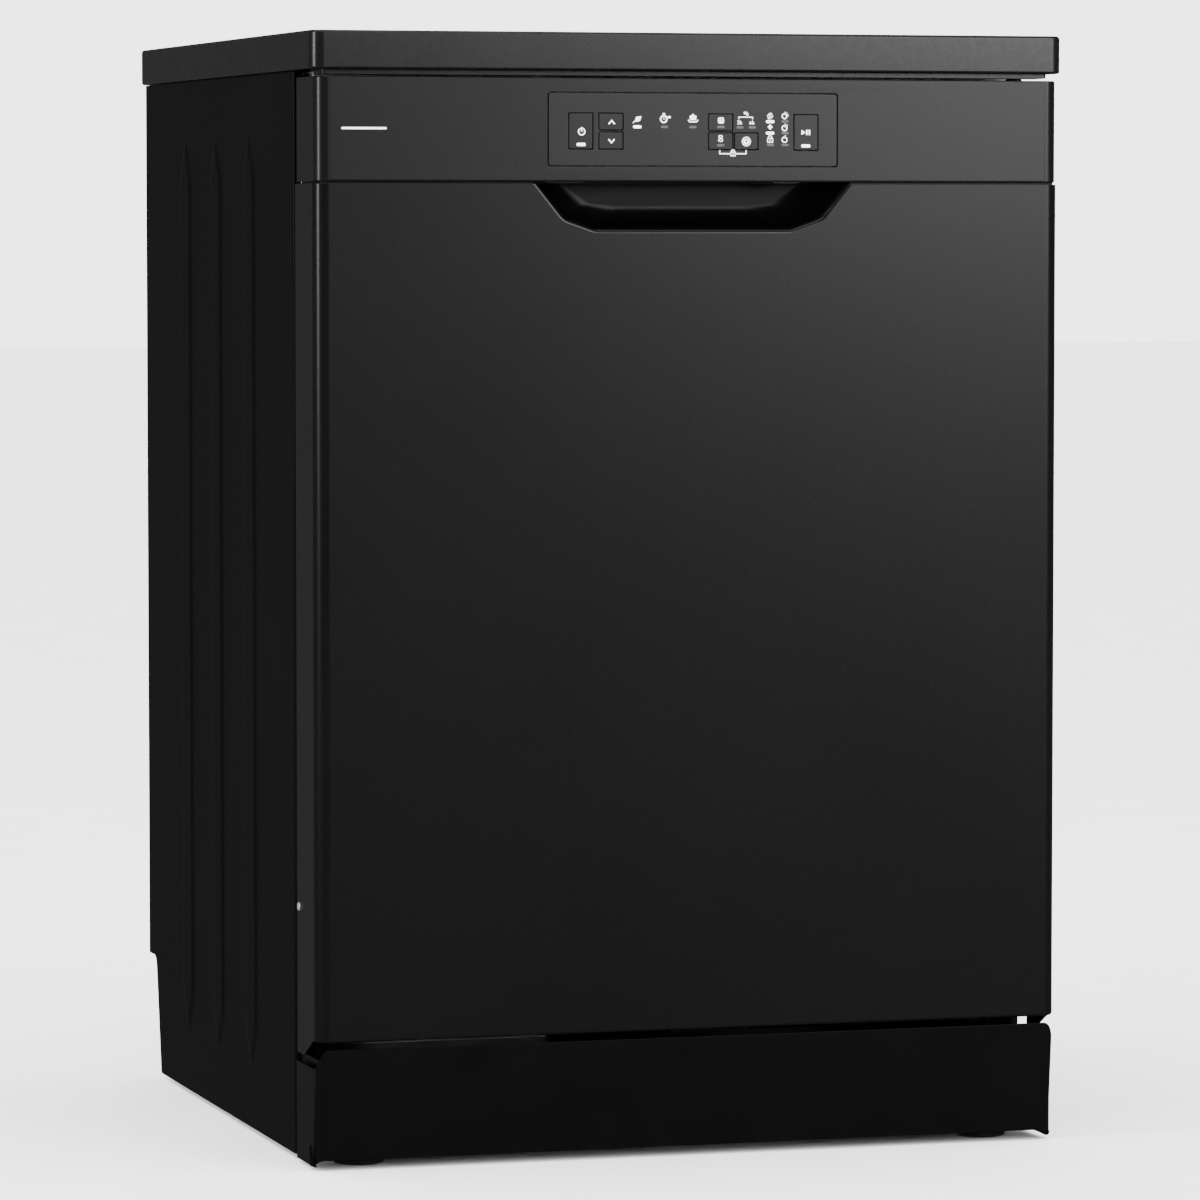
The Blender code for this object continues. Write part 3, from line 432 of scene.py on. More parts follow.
def lathe(profile, centre, axis, steps=32, bm=None):
    """A profile of radius and height turned about an axis through a centre, closed at both ends."""
    bm = bm or bmesh.new()
    turn = Vector((0, 0, 1)).rotation_difference(Vector(axis)).to_matrix()
    rings = []
    for radius, height in profile:
        if radius == 0:
            rings.append([bm.verts.new((Vector(centre) + turn @ Vector((0, 0, height))) * MM)])
            continue
        rings.append([
            bm.verts.new((Vector(centre)
                          + turn @ Vector((radius * math.cos(a), radius * math.sin(a), height))) * MM)
            for a in (2 * math.pi * k / steps for k in range(steps))
        ])
    made = []
    for a, b in zip(rings, rings[1:]):
        for k in range(steps):
            n = (k + 1) % steps
            corners = [a[k % len(a)], a[n % len(a)], b[n % len(b)], b[k % len(b)]]
            made.append(bm.faces.new(list(dict.fromkeys(corners))))
    bmesh.ops.recalc_face_normals(bm, faces=made)
    return bm


def screw(bm, place, axis, radius=3.6, height=1.7):
    """A pan-head screw: a domed head with a sunk hexagonal socket."""
    dome = [(radius, 0), (radius, height * 0.35), (radius * 0.82, height * 0.8), (radius * 0.5, height)]
    profile = [(0, 0)] + dome + [(radius * 0.42, height), (radius * 0.34, height * 0.35), (0, height * 0.35)]
    return lathe(profile, place, axis, 18, bm)


SLOT_ROWS, SLOT_COLUMNS = 2, 14
low, high = size_of("rear_panel")
slots = []
for row in range(SLOT_ROWS):
    for column in range(SLOT_COLUMNS):
        u, v = -130 + column * 20, 140 + row * 16
        slots.append(rounded(rectangle(u - 7, u + 7, v - 2.2, v + 2.2), 2.1, 4))
rear = plate([rounded(rectangle(low.x, high.x, low.z, high.z), 3, 4)] + slots, "XZ", low.y, high.y)
piece("rear_sheet", rear, "cabinet", zinc, ["rear_panel"])
pressed = bmesh.new()
for centre in (-150, 0, 150):
    pillow(rib_rings(centre, 52, 200, 780, 2.2, 12), lambda u, v, h: Vector((u, high.y - 0.05 + h, v)),
           pressed)
bmesh.ops.recalc_face_normals(pressed, faces=pressed.faces)
piece("rear_sheet_pressings", pressed, "cabinet", zinc, angle=50)
rear_screws = bmesh.new()
for x in (-282, 282):
    for k in range(5):
        screw(rear_screws, (x, high.y, 130 + k * 168), (0, 1, 0))
for x in (-170, 0, 170):
    screw(rear_screws, (x, high.y, 818), (0, 1, 0))
piece("rear_panel_screws", rear_screws, "cabinet", screw_zinc)

# ------------------------------------------------------------------ base tray, cord gland, crossbar
# The tray is one moulding that carries the pumps and the feet. The gland and the steel bar across the
# front keep their CAD shape, and take the finishes of their kinds.

# Filled polypropylene, moulded against a spark-eroded tool: black, dull and finely grained.
moulded_black = surface("filled_polypropylene_black", ("0b0b0b", "0f0f0f"), 30, 0.8, (0.5, 0.62), 0.008,
                        Specular_IOR_Level=0.35)
# The same resin in light grey, as used for water parts that never show.
moulded_grey = surface("polypropylene_grey", ("85888b", "93969a"), 25, 0.9, (0.4, 0.52), 0.012)
# Natural polypropylene: milky white and slightly waxy.
moulded_white = surface("polypropylene_natural", ("cfd0cc", "dddeda"), 25, 1.2, (0.36, 0.48), 0.01,
                        Subsurface_Weight=0.08, Subsurface_Scale=0.004)


def dress(material, *nodes):
    """Give CAD nodes a finish in place of their plain one."""
    for node in nodes:
        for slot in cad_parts[node].material_slots:
            slot.material = material


dress(moulded_black, "base_tray", "cord_gland", "circulation_pump")
dress(zinc, "front_crossbar", "left_hinge_bracket", "right_hinge_bracket", "left_hinge_arm",
      "right_hinge_arm")
dress(moulded_white, "drain_pump", "inlet_valve", "salt_container", "air_breaker")

# ------------------------------------------------------------------ kick plate
# A black ABS moulding clipped to the base. Its front leans back towards the floor, its corners are
# round, and each side return ends in a narrow upright lip.

# Moulded ABS: deep black with a satin gloss.
satin_abs = surface("satin_abs_black", ("040404", "050505"), 60, 1.5, (0.3, 0.36), 0.001,
                    Specular_IOR_Level=0.12)

KICK_X, KICK_BACK, KICK_TOP, KICK_LOW = 296, -232, 93, 8
KICK_FRONT_TOP, KICK_FRONT_LOW, KICK_SIDE_TOP, KICK_SIDE_LOW, KICK_R = -299.6, -291, 77.8, 3, 8
KICK_WALL, SHELF_LOW, SHELF_TOP = 2.2, 81.4, 83.4  # the shelf stays under the opening door's lower edge


def kick_rows(levels):
    """Rows of points round the plinth at heights given as shares from its lower to its upper edge."""
    plan = [(KICK_X, KICK_BACK, 0.0), (KICK_X, -276, 0.0), (KICK_X, -287, 0.0)]
    for k in range(1, 8):
        angle = math.pi / 2 * k / 8
        plan.append((KICK_X - KICK_R * (1 - math.cos(angle)), None, math.sin(angle)))
    plan.append((KICK_X - KICK_R, None, 1.0))
    rows = []
    for x, y, turn in plan:
        top = KICK_SIDE_TOP + (KICK_TOP - KICK_SIDE_TOP) * turn ** 1.5
        foot = KICK_SIDE_LOW + (KICK_LOW - KICK_SIDE_LOW) * turn
        row = []
        for share in levels:
            z = foot + (top - foot) * share
            rise = (z - KICK_LOW) / (KICK_TOP - KICK_LOW)
            lean = KICK_FRONT_LOW + (KICK_FRONT_TOP - KICK_FRONT_LOW) * rise
            row.append((x, y if y is not None else lean + KICK_R * (1 - turn), z))
        rows.append(row)
    return rows + [[(-x, y, z) for x, y, z in row] for row in reversed(rows)]


plinth = piece("kick_plate_shell", strip(kick_rows([k / 6 for k in range(7)])), "cabinet",
               satin_abs, ["kick_plate"])
front_face = max(plinth.data.polygons, key=lambda f: f.area)
thicken(plinth, KICK_WALL, 1.0 if front_face.normal.y > 0 else -1.0)
edge = plinth.modifiers.new("edges", "BEVEL")
edge.width = 0.8 * MM
edge.segments = 3
edge.limit_method = "ANGLE"
edge.angle_limit = math.radians(50)
settle(plinth, 40)
lips = bmesh.new()
for side in (-1, 1):
    outline = rounded(rectangle(side * 295.9, side * 293.4, KICK_BACK - 5, KICK_BACK + 0.5), 0.9, 4)
    prism(outline, "XY", KICK_SIDE_LOW + 1, KICK_SIDE_TOP - 0.5, lips)
piece("kick_plate_lips", lips, "cabinet", satin_abs)
# A shelf behind its upper edge closes the gap below the door, with a small upright at each end.
shelf = prism(rounded(rectangle(-277, 277, -291, -196), 3, 4), "XY", SHELF_LOW, SHELF_TOP)
for side in (-1, 1):
    prism(rectangle(-291, -228, 58, SHELF_TOP), "YZ", *sorted((side * 289.2, side * 291)), shelf)
    prism(rectangle(*sorted((side * 276, side * 290)), -291, -277), "XY", SHELF_LOW, SHELF_TOP, shelf)
piece("kick_plate_shelf", shelf, "cabinet", satin_abs)

# ------------------------------------------------------------------ feet
# Four black polypropylene pads on threaded studs. They are screwed up or down to level the machine,
# and a hexagon above the pad takes a spanner.

STUD_LOW, HALF_PITCH = 12, 0.9
for node in ("front_left_foot", "front_right_foot", "rear_left_foot", "rear_right_foot"):
    low, high = size_of(node)
    x, y = (low.x + high.x) / 2, (low.y + high.y) / 2
    pad = [(0, 0), (17, 0), (18.8, 0.5), (19.8, 1.8), (19.8, 5.2), (19.2, 7), (17.5, 8.2), (9, 10.5),
           (0, 10.5)]
    foot = lathe(pad, (x, y, 0), (0, 0, 1), 40)
    bevel(prism(circle(x, y, 9.5, 6), "XY", 10.3, 12.4, foot), 0.5, 2,
          lambda a, b: a.z > 12.3 and b.z > 12.3)
    thread = [(4.4 if k % 2 else 3.7, STUD_LOW + k * HALF_PITCH) for k in range(51)]
    lathe([(0, STUD_LOW)] + thread + [(0, thread[-1][1])], (x, y, 0), (0, 0, 1), 20, foot)
    piece(node + "_pad", foot, node, moulded_black, [node])

# ------------------------------------------------------------------ door skin
# One sheet of powder-coated steel: rounded at both upright corners, folded in at top and bottom, cut
# low on its sides to clear the plinth, and stamped with a soft lip round the handle opening.

DOOR_X, DOOR_FRONT, DOOR_BACK, DOOR_R = 296.5, -300, -237, 11
DOOR_Z0, DOOR_Z1, DOOR_SIDE_Z0 = 98.5, 745.5, 85
LIP, DOOR_SHEET = 3.4, 0.9  # the rounding of the stamped lip, and the sheet's thickness
# Door coat: the same powder rolled finer and glossier, with an orange peel about 2 mm across.
door_coat = surface("fine_powder_coat_black", ("050505", "060606"), 180, 2.2, (0.25, 0.275), 0.0003,
                    Specular_IOR_Level=0.25)


def handle_outline(inset, rise):
    """The handle opening: a trapezoid with two slopes on each side, open at its top by the rise."""
    top = DOOR_Z1 + rise
    shoulder, foot = (102 - inset, 719.8 + inset * 0.4), (78 - inset, 711.4 + inset * 0.6)
    right = [(123 - inset, top), (123 - inset, DOOR_Z1), shoulder, foot]
    left = [(-u, v) for u, v in reversed(right)]
    return rounded(right + left, [0, 0, 12, 14, 14, 12, 0, 0], 6)


profile = [(DOOR_FRONT, DOOR_Z0), (-285, DOOR_Z0), (-258, DOOR_SIDE_Z0), (DOOR_BACK, DOOR_SIDE_Z0),
           (DOOR_BACK, DOOR_Z1), (DOOR_FRONT, DOOR_Z1)]
skin_bm = prism(profile, "YZ", -DOOR_X, DOOR_X)
bevel(skin_bm, DOOR_R, 10,
      lambda a, b: abs(a.y - DOOR_FRONT) + abs(b.y - DOOR_FRONT) < 0.1 and abs(a.z - b.z) > 100)
skin = piece("door_skin", skin_bm, "door", door_coat, ["door_front_panel"])
carve(skin, prism(handle_outline(0, 6), "XZ", DOOR_FRONT - 5, -262))
skin_bm = bmesh.new()
skin_bm.from_mesh(skin.data)
bevel(skin_bm, LIP, 6, lambda a, b: abs(a.y - DOOR_FRONT) + abs(b.y - DOOR_FRONT) < 0.1
      and max(abs(a.x), abs(b.x)) < 123.5 and min(a.z, b.z) > 711)
bevel(skin_bm, 1.3, 3, lambda a, b: min(a.z, b.z) > DOOR_Z1 - 0.1 and max(a.y, b.y) < DOOR_BACK - 1
      and min(abs(a.x), abs(b.x)) > 126)
bevel(skin_bm, 2.4, 4, lambda a, b: max(a.z, b.z) < DOOR_Z0 + 0.1 and max(a.y, b.y) < -284.9)
gone = []
for face in skin_bm.faces:
    middle = face.calc_center_median() / MM
    behind = face.normal.y > 0.99 and middle.y > DOOR_BACK - 0.5
    deep = middle.y > DOOR_FRONT + LIP + 0.2
    inside = abs(middle.x) < 122.9 and deep and 711.3 < middle.z < DOOR_Z1 - 0.1
    side_foot = face.normal.z < -0.5 and middle.z < DOOR_Z0 - 1
    if behind or inside or side_foot:
        gone.append(face)
bmesh.ops.delete(skin_bm, geom=gone, context="FACES")
bmesh.ops.recalc_face_normals(skin_bm, faces=skin_bm.faces)
skin_bm.to_mesh(skin.data)
skin_bm.free()
front_face = max(skin.data.polygons, key=lambda f: f.area)
thicken(skin, DOOR_SHEET, -1.0 if front_face.normal.y < 0 else 1.0)
settle(skin, 30)

# ------------------------------------------------------------------ handle pocket
# A black moulded cup clipped behind the opening. Its walls run in steeply to a small flat back, so
# that fingers can hook behind the control panel's lower edge.

pocket_rings = [(-297.2, 0.15), (-293, 0.7), (-286, 2.6), (-277, 7.5), (-270, 14), (-266, 21), (-264.4, 29)]
pocket_rows = []
for y, inset in pocket_rings:
    pocket_rows.append([(u, y, v) for u, v in handle_outline(inset, 0.4)])
pocket_bm = strip(pocket_rows)
pocket_bm.verts.ensure_lookup_table()
pocket_bm.faces.new([pocket_bm.verts[i - len(pocket_rows[-1])] for i in range(len(pocket_rows[-1]))])
pocket = piece("handle_pocket_cup", pocket_bm, "door", satin_abs, ["handle_pocket"], 50)
thicken(pocket, 1.6, 1.0 if pocket.data.polygons[-1].normal.y > 0 else -1.0)
settle(pocket, 50)

# ------------------------------------------------------------------ control panel
# The door's head, moulded in black ABS and painted to match the door. A fascia plate, a hair proud of
# it, carries the window for the buttons, and two small tongues below hook it over the handle pocket.

# Painted ABS: the door's tone a little lighter, smooth, with a faint flow marking.
fascia_paint = surface("painted_abs_black", ("070707", "080808"), 140, 1.6, (0.27, 0.3), 0.0003,
                       Specular_IOR_Level=0.26)

PANEL_X, PANEL_BACK, PANEL_Z0, PANEL_Z1, PANEL_R = 295.5, -238.5, 747, 825.5, 10
HEAD_FRONT, FASCIA_FRONT = -298.9, -299.4
WINDOW_X, WINDOW_Z0, WINDOW_Z1 = 115.5, 758.5, 814.8
corners = [(PANEL_X, PANEL_BACK), (-PANEL_X, PANEL_BACK), (-PANEL_X, HEAD_FRONT), (PANEL_X, HEAD_FRONT)]
head_bm = prism(rounded(corners, [0, 0, PANEL_R, PANEL_R], 10), "XY", PANEL_Z0, PANEL_Z1)
bevel(head_bm, 1.0, 3, lambda a, b: abs(a.z - b.z) < 0.01 and max(a.y, b.y) < PANEL_BACK - 0.1)
bmesh.ops.delete(head_bm, geom=[f for f in head_bm.faces if f.normal.y > 0.99], context="FACES")
head = piece("control_panel_head", head_bm, "door", fascia_paint, ["control_panel"])
thicken(head, 2.2, -1.0)
settle(head)
window = rounded(rectangle(-WINDOW_X, WINDOW_X, WINDOW_Z0, WINDOW_Z1), 2.5, 5)
carve(head, prism(window, "XZ", HEAD_FRONT - 5, HEAD_FRONT + 12))
outline = rounded(rectangle(-284.5, 284.5, PANEL_Z0 + 1.1, PANEL_Z1 - 1.1), 1.5, 4)
piece("control_panel_fascia", plate([outline, window], "XZ", FASCIA_FRONT, HEAD_FRONT + 0.4, 0.3), "door",
      fascia_paint)
tongues = bmesh.new()
for centre, half in ((-102, 15), (74.5, 12)):
    lens = [(centre + half * math.cos(a), PANEL_Z0 + 0.3 - 1.7 * math.sin(a) ** 0.7)
            for a in (math.pi * k / 14 for k in range(15))]
    prism(lens, "XZ", HEAD_FRONT + 0.8, HEAD_FRONT + 6, tongues)
bevel(tongues, 0.4, 2)
piece("control_panel_tongues", tongues, "door", satin_abs)
seat = bmesh.new()
for side in (-1, 1):
    prism(rectangle(side * 126, side * 292, -296.5, -240), "XY", DOOR_Z1 - 0.3, PANEL_Z0 + 0.2, seat)
piece("control_panel_seat", seat, "door", satin_abs)

# ------------------------------------------------------------------ button plate and buttons
# A satin black plate that snaps into the window with a shadow gap all round, and seven push buttons
# of the same plastic. Each button travels 1.2 mm and stands a few tenths proud.

# Button plate: satin ABS, greyer than the fascia round it.
plate_abs = surface("satin_abs_button_plate", ("0a0a0a", "0c0c0c"), 60, 0.9, (0.3, 0.34), 0.0006,
                    Specular_IOR_Level=0.28)

GROOVE, HOLE_GAP = 0.8, 0.55
BUTTON_FRONT = FASCIA_FRONT - 0.3
button_boxes = {}
for node in ("power_button", "up_button", "down_button", "half_load_button", "extra_dry_button",
             "delay_button", "start_button"):
    low, high = size_of(node)
    button_boxes[node] = (low.x, high.x, low.z, high.z)
loops = [rounded(rectangle(-WINDOW_X + GROOVE, WINDOW_X - GROOVE, WINDOW_Z0 + GROOVE, WINDOW_Z1 - GROOVE),
                 1.9, 5)]
for u0, u1, v0, v1 in button_boxes.values():
    loops.append(rounded(rectangle(u0 - HOLE_GAP, u1 + HOLE_GAP, v0 - HOLE_GAP, v1 + HOLE_GAP), 1.0, 3))
piece("button_plate", plate(loops, "XZ", FASCIA_FRONT, FASCIA_FRONT + 3, 0.25), "door",
      plate_abs, ["control_insert"])
for node, (u0, u1, v0, v1) in button_boxes.items():
    cap = prism(rounded(rectangle(u0, u1, v0, v1), 0.9, 4), "XZ", BUTTON_FRONT, HEAD_FRONT + 8)
    bevel(cap, 0.45, 3, lambda a, b: max(a.y, b.y) < BUTTON_FRONT + 0.01)
    piece(node + "_cap", cap, node, plate_abs, [node])

# ------------------------------------------------------------------ printed marks and lamps
# Pad-printed white symbols a twentieth of a millimetre thick, and small light guides. A lit guide
# shines white, an unlit one is a faint grey window in the plate.

# Pad-printing ink: opaque white with a faint mottle, and a faint painted glow (emission) that makes the
# marks brighter than the light on them gives.
ink_with_painted_glow = surface("pad_printing_ink_white_painted_glow", ("e8e8e6", "f6f6f4"), 4, 0.5, (0.4, 0.5), 0.002,
              Emission_Color=(1, 1, 1, 1), Emission_Strength=0.12)
# Light guides: polycarbonate, white where a lamp is lit behind it and smoked where it isn't.
lamp_lit = surface("light_guide_lit", ("f4f4f2", "ffffff"), 5, 0.6, (0.3, 0.4), 0.002,
                   Emission_Color=(1, 1, 1, 1), Emission_Strength=0.35)
lamp_dark = surface("light_guide_smoked", ("2e2e2e", "383838"), 5, 0.6, (0.2, 0.3), 0.002)

INK = 0.06  # drawn a little thicker than real ink, so that it shows


def ribbon(points, width, closed=False):
    """The outline of a stroke of even width along a polyline; a closed one has a hairline seam."""
    points = [Vector(p) for p in points]
    count = len(points)
    left, right = [], []
    for i, point in enumerate(points):
        before = points[i - 1] if i or closed else None
        after = points[(i + 1) % count] if i + 1 < count or closed else None
        a = (point - before).normalized() if before is not None else None
        b = (after - point).normalized() if after is not None else None
        along = ((a or b) + (b or a)).normalized()
        side = Vector((-along.y, along.x))
        reach = width / 2 / max(0.45, side.dot(Vector((-(a or b).y, (a or b).x))))
        left.append(tuple(point + side * reach))
        right.append(tuple(point - side * reach))
    if closed:
        gap = Vector((0.004, 0.003))
        left.append(tuple(Vector(left[0]) + gap))
        right.append(tuple(Vector(right[0]) + gap))
    return left + right[::-1]


def arc(u, v, radius, start, stop, steps=18):
    """Points along an arc, with its angles in degrees."""
    turns = [math.radians(start + (stop - start) * k / steps) for k in range(steps + 1)]
    return [(u + radius * math.cos(a), v + radius * math.sin(a)) for a in turns]


def ring(u, v, radius, width):
    return ribbon(circle(u, v, radius, 28), width, True)


def pill(u, v, width, height):
    return rounded(rectangle(u - width / 2, u + width / 2, v - height / 2, v + height / 2),
                   height / 2 - 0.02, 6)


def printed(name, shapes, body, material=None, front=FASCIA_FRONT, depth=INK):
    """Flat marks on the plate or on a button, one body for each shape."""
    bm = bmesh.new()
    for shape in shapes:
        prism(shape, "XZ", front - depth, front + 0.02, bm)
    piece(name, bm, body, material or ink_with_painted_glow)


def padlock(u, v, scale):
    """A small padlock: a shackle, a body drawn as a frame, and a keyhole bar."""
    s = scale
    body = rectangle(u - 1.9 * s, u + 1.9 * s, v - 2.4 * s, v + 0.5 * s)
    crown = arc(u, v + 1.3 * s, 1.2 * s, 180, 0, 10)
    shackle = [(u - 1.2 * s, v + 0.7 * s)] + crown + [(u + 1.2 * s, v + 0.7 * s)]
    keyhole = ribbon([(u, v - 1.6 * s), (u, v - 0.3 * s)], 0.6 * s)
    return [ribbon(body, 0.6 * s, True), ribbon(shackle, 0.6 * s), keyhole]


def figure(glyph, u, v, height):
    """A digit or the letter h as a stroke, its lower left corner at u, v."""
    h, w, s = height, height * 0.56, height * 0.17
    r = w / 2 - s / 2
    low, high = (u + w / 2, v + r + s / 2), (u + w / 2, v + h - r - s / 2)
    if glyph == "3":
        r3 = (h - s) / 4
        upper = arc(u + w / 2, v + h - s / 2 - r3, r3, 150, -90, 12)
        lower = arc(u + w / 2, v + s / 2 + r3, r3, 90, -150, 12)
        return [ribbon(upper + lower, s)]
    if glyph == "6":
        tail = arc(u + w, low[1] + 0.1, w - s / 2, 180, 122, 8)
        return [ring(*low, r, s), ribbon([(u + s / 2, low[1])] + tail, s)]
    if glyph == "9":
        tail = arc(u, high[1] - 0.1, w - s / 2, 0, -58, 8)
        return [ring(*high, r, s), ribbon([(u + w - s / 2, high[1])] + tail, s)]
    stem = ribbon([(u + s / 2, v), (u + s / 2, v + h)], s)
    bow = arc(u + w * 0.52, v + h * 0.4, r * 0.92, 150, 0, 8)
    return [stem, ribbon([(u + s / 2, v + h * 0.45)] + bow + [(u + w * 0.52 + r * 0.92, v)], s)]


# The power and start buttons, and the two chevrons between which the programme moves.
printed("power_mark", [ribbon(arc(-88.9, 784.9, 2.5, 68, -248, 28), 0.85),
                       ribbon([(-88.9, 784.9), (-88.9, 788.3)], 0.85)], "power_button", front=BUTTON_FRONT)
printed("power_lamp", [pill(-89.4, 775.2, 7.2, 2.3)], "power_button", lamp_lit, BUTTON_FRONT)
printed("up_mark", [ribbon([(-67.6, 790.7), (-65.2, 793.3), (-62.8, 790.7)], 0.95)], "up_button",
        front=BUTTON_FRONT)
printed("down_mark", [ribbon([(-67.8, 779.2), (-65.4, 776.6), (-63.0, 779.2)], 0.95)], "down_button",
        front=BUTTON_FRONT)
printed("start_mark", [[(86.1, 783.1), (89.2, 785.0), (86.1, 786.9)], rectangle(89.8, 91.0, 783.1, 786.9),
                       rectangle(91.9, 93.1, 783.1, 786.9)], "start_button", front=BUTTON_FRONT)
printed("start_lamp", [pill(89.6, 774.7, 7.2, 2.3)], "start_button", lamp_lit, BUTTON_FRONT)

# Programme symbols above three lamps: a leaf for the saving wash, a stopwatch, and a pot on a hand.
leaf = [(-46.9, 792.9), (-45.9, 796.2), (-41.6, 796.8), (-42.6, 793.2), (-45.6, 792.4)]
shapes = [rounded(leaf, [0.6, 1.6, 0.3, 1.6, 0.6], 5), ribbon([(-48.3, 791.6), (-46.6, 793.2)], 0.5)]
shapes += [ring(-23.9, 794.6, 2.5, 1.0), ribbon([(-23.9, 794.6), (-23.9, 796.0)], 0.45),
           ribbon([(-23.9, 794.6), (-22.9, 794.6)], 0.45), rectangle(-24.9, -22.7, 798.1, 799.1),
           pill(-19.6, 796.1, 2.6, 1.6)]
pot = [(-2.9, 793.9), (-3.4, 797.1), (-1.9, 797.4), (-0.6, 798.9), (0.7, 797.4), (2.2, 797.1), (1.7, 793.9)]
shapes += [rounded(pot, 0.3, 3), ribbon([(-4.6, 794.2), (-3.3, 792.6), (2.1, 792.6), (3.4, 794.2)], 0.75)]
printed("programme_marks", shapes, "door")

# The option symbols on the three small buttons, their lamps, and the delay hours.
printed("half_load_mark", [ribbon(rounded(rectangle(19.7, 23.5, 791.9, 795.7), 0.7, 3), 0.8, True),
                           rectangle(20.1, 23.1, 792.2, 793.7), pill(21.6, 794.75, 2.4, 0.45)],
        "half_load_button", front=BUTTON_FRONT)
printed("extra_dry_mark", [ribbon(rounded(rectangle(19.9, 22.7, 780.5, 782.3), 0.85, 4), 0.6, True),
                           ribbon(rounded(rectangle(19.7, 22.9, 777.9, 779.8), 0.9, 4), 0.6, True)],
        "extra_dry_button", front=BUTTON_FRONT)
printed("delay_mark", [ring(41.9, 777.9, 3.25, 0.6), ribbon(arc(41.9, 777.9, 1.6, 80, -260, 24), 1.5)],
        "delay_button", front=BUTTON_FRONT)
shapes = [ribbon([(36.0, 794.9), (36.0, 796.4), (46.9, 796.4), (46.9, 794.9)], 0.65)]
for u, v, digit in ((39.9, 797.6, "9"), (34.6, 790.9, "3"), (44.4, 790.9, "6")):
    shapes += figure(digit, u, v, 2.9) + figure("h", u + 2.1, v, 2.9)
shapes += [ribbon([(20.7, 771.2), (20.7, 768.6), (29.4, 768.6)], 0.7),
           ribbon([(33.2, 768.6), (41.8, 768.6), (41.8, 771.2)], 0.7)] + padlock(31.3, 769.3, 0.95)
printed("delay_marks", shapes, "door")

# Two columns of warning symbols: salt, rinse aid and lock, then the three stages of the programme.
shapes = [ribbon(arc(61.3, 798.3, 1.1, 20, 200, 8) + arc(60.3, 796.3, 1.1, 20, -160, 8), 0.6),
          ribbon([(61.9, 795.7), (63.1, 797.2), (61.6, 798.9)], 0.5),
          ribbon([(60.0, 798.9), (58.8, 797.4), (60.2, 795.8)], 0.5),
          [(61.0, 786.9), (63.0, 789.0), (61.0, 791.1), (59.0, 789.0)]] + padlock(61.0, 779.9, 1.05)
for v, rays in ((797.3, 3), (788.2, 2), (779.4, 1)):
    shapes.append(ribbon(arc(72.6, v, 1.95, 60, -290, 26), 0.75))
    for k in range(rays):
        angle = math.radians(78 - 34 * k)
        out = (math.cos(angle), math.sin(angle))
        shapes.append(ribbon([(72.6 + 1.1 * out[0], v + 1.1 * out[1]),
                              (72.6 + 3.3 * out[0], v + 3.3 * out[1])], 0.7))
printed("warning_marks", shapes, "door")

printed("lamps_lit", [pill(u, v, 6.7, 2.2) for u, v in ((-44.9, 788.7), (61.0, 793.1), (61.0, 784.3))],
        "door", lamp_lit)
dark = [(-23.3, 788.7), (-0.8, 788.7), (36.9, 788.7), (46.8, 788.7), (61.4, 775.4), (73.0, 793.3),
        (73.0, 784.5), (73.0, 775.4)]
printed("lamps_dark", [pill(u, v, 5.8, 1.9) for u, v in dark], "door", lamp_dark)
printed("half_load_lamp", [pill(21.5, 788.9, 6.2, 1.9)], "half_load_button", lamp_dark, BUTTON_FRONT)
printed("extra_dry_lamp", [pill(21.4, 775.0, 6.2, 1.9)], "extra_dry_button", lamp_dark, BUTTON_FRONT)
# The maker's place on the panel, kept as a plain bar.
printed("maker_mark", [pill(-258.5, 786.8, 35, 1.5)], "door", front=FASCIA_FRONT)

# ------------------------------------------------------------------ tub, gasket and tub floor
# A hood of bright stainless sheet, open at the front and below, pressed with a field on each wall,
# with a rubber seal round its mouth and two rollers on each side for the rails.

# Stainless steel, bright annealed and brushed along its length: scratches under a millimetre apart,
# drawn twice as coarse as real ones so that they show.
brushed = surface("brushed_stainless_steel", ("a9abac", "b6b8b9"), 60, 1.2, (0.2, 0.3), 0.002, (1, 0.04, 1),
                  Metallic=1.0, Anisotropic=0.4)
# Ethylene propylene rubber: black-grey, matt, with a slight bloom.
rubber = surface("epdm_rubber", ("1f2022", "28292b"), 8, 0.6, (0.7, 0.85), 0.01)
# Acetal rollers and bushes: white and slightly glossy.
acetal = surface("acetal_white", ("d6d6d2", "dfdfdc"), 12, 0.8, (0.28, 0.36), 0.003)

TUB_X, TUB_Y0, TUB_Y1, TUB_Z0, TUB_Z1 = 270, -222, 262, 165.9, 812
RAIL_Z = 560
arch = rounded([(-TUB_X, TUB_Z0), (TUB_X, TUB_Z0), (TUB_X, TUB_Z1), (-TUB_X, TUB_Z1)], [0, 0, 20.5, 20.5], 8)
hood_bm = prism(arch, "XZ", TUB_Y0, TUB_Y1)
bevel(hood_bm, 14, 5, lambda a, b: min(a.y, b.y) > TUB_Y1 - 0.1 and max(a.z, b.z) > TUB_Z0 + 1)
open_sides = [f for f in hood_bm.faces if f.normal.y < -0.99 or f.normal.z < -0.99]
bmesh.ops.delete(hood_bm, geom=open_sides, context="FACES")
hood = piece("tub_hood", hood_bm, "cabinet", brushed, ["tub_shell"])
thicken(hood, 1.2, 1.0)
settle(hood)
fields = bmesh.new()
for side in (-1, 1):
    for v0, v1 in ((200, 530), (590, 780)):
        rings = []
        for k in range(6):
            share = k / 5
            rim = rectangle(-190 + 9 * share, 230 - 9 * share, v0 + 9 * share, v1 - 9 * share)
            rings.append((rounded(rim, 24 - 9 * share, 5), 2.4 * (3 * share ** 2 - 2 * share ** 3)))
        pillow(rings, lambda u, v, h: Vector((side * (TUB_X + 0.1 - h), u, v)), fields)
rings = []
for k in range(6):
    share = k / 5
    rim = rectangle(-215 + 10 * share, 215 - 10 * share, 215 + 10 * share, 770 - 10 * share)
    rings.append((rounded(rim, 30 - 10 * share, 5), 2.4 * (3 * share ** 2 - 2 * share ** 3)))
pillow(rings, lambda u, v, h: Vector((u, TUB_Y1 + 0.1 - h, v)), fields)
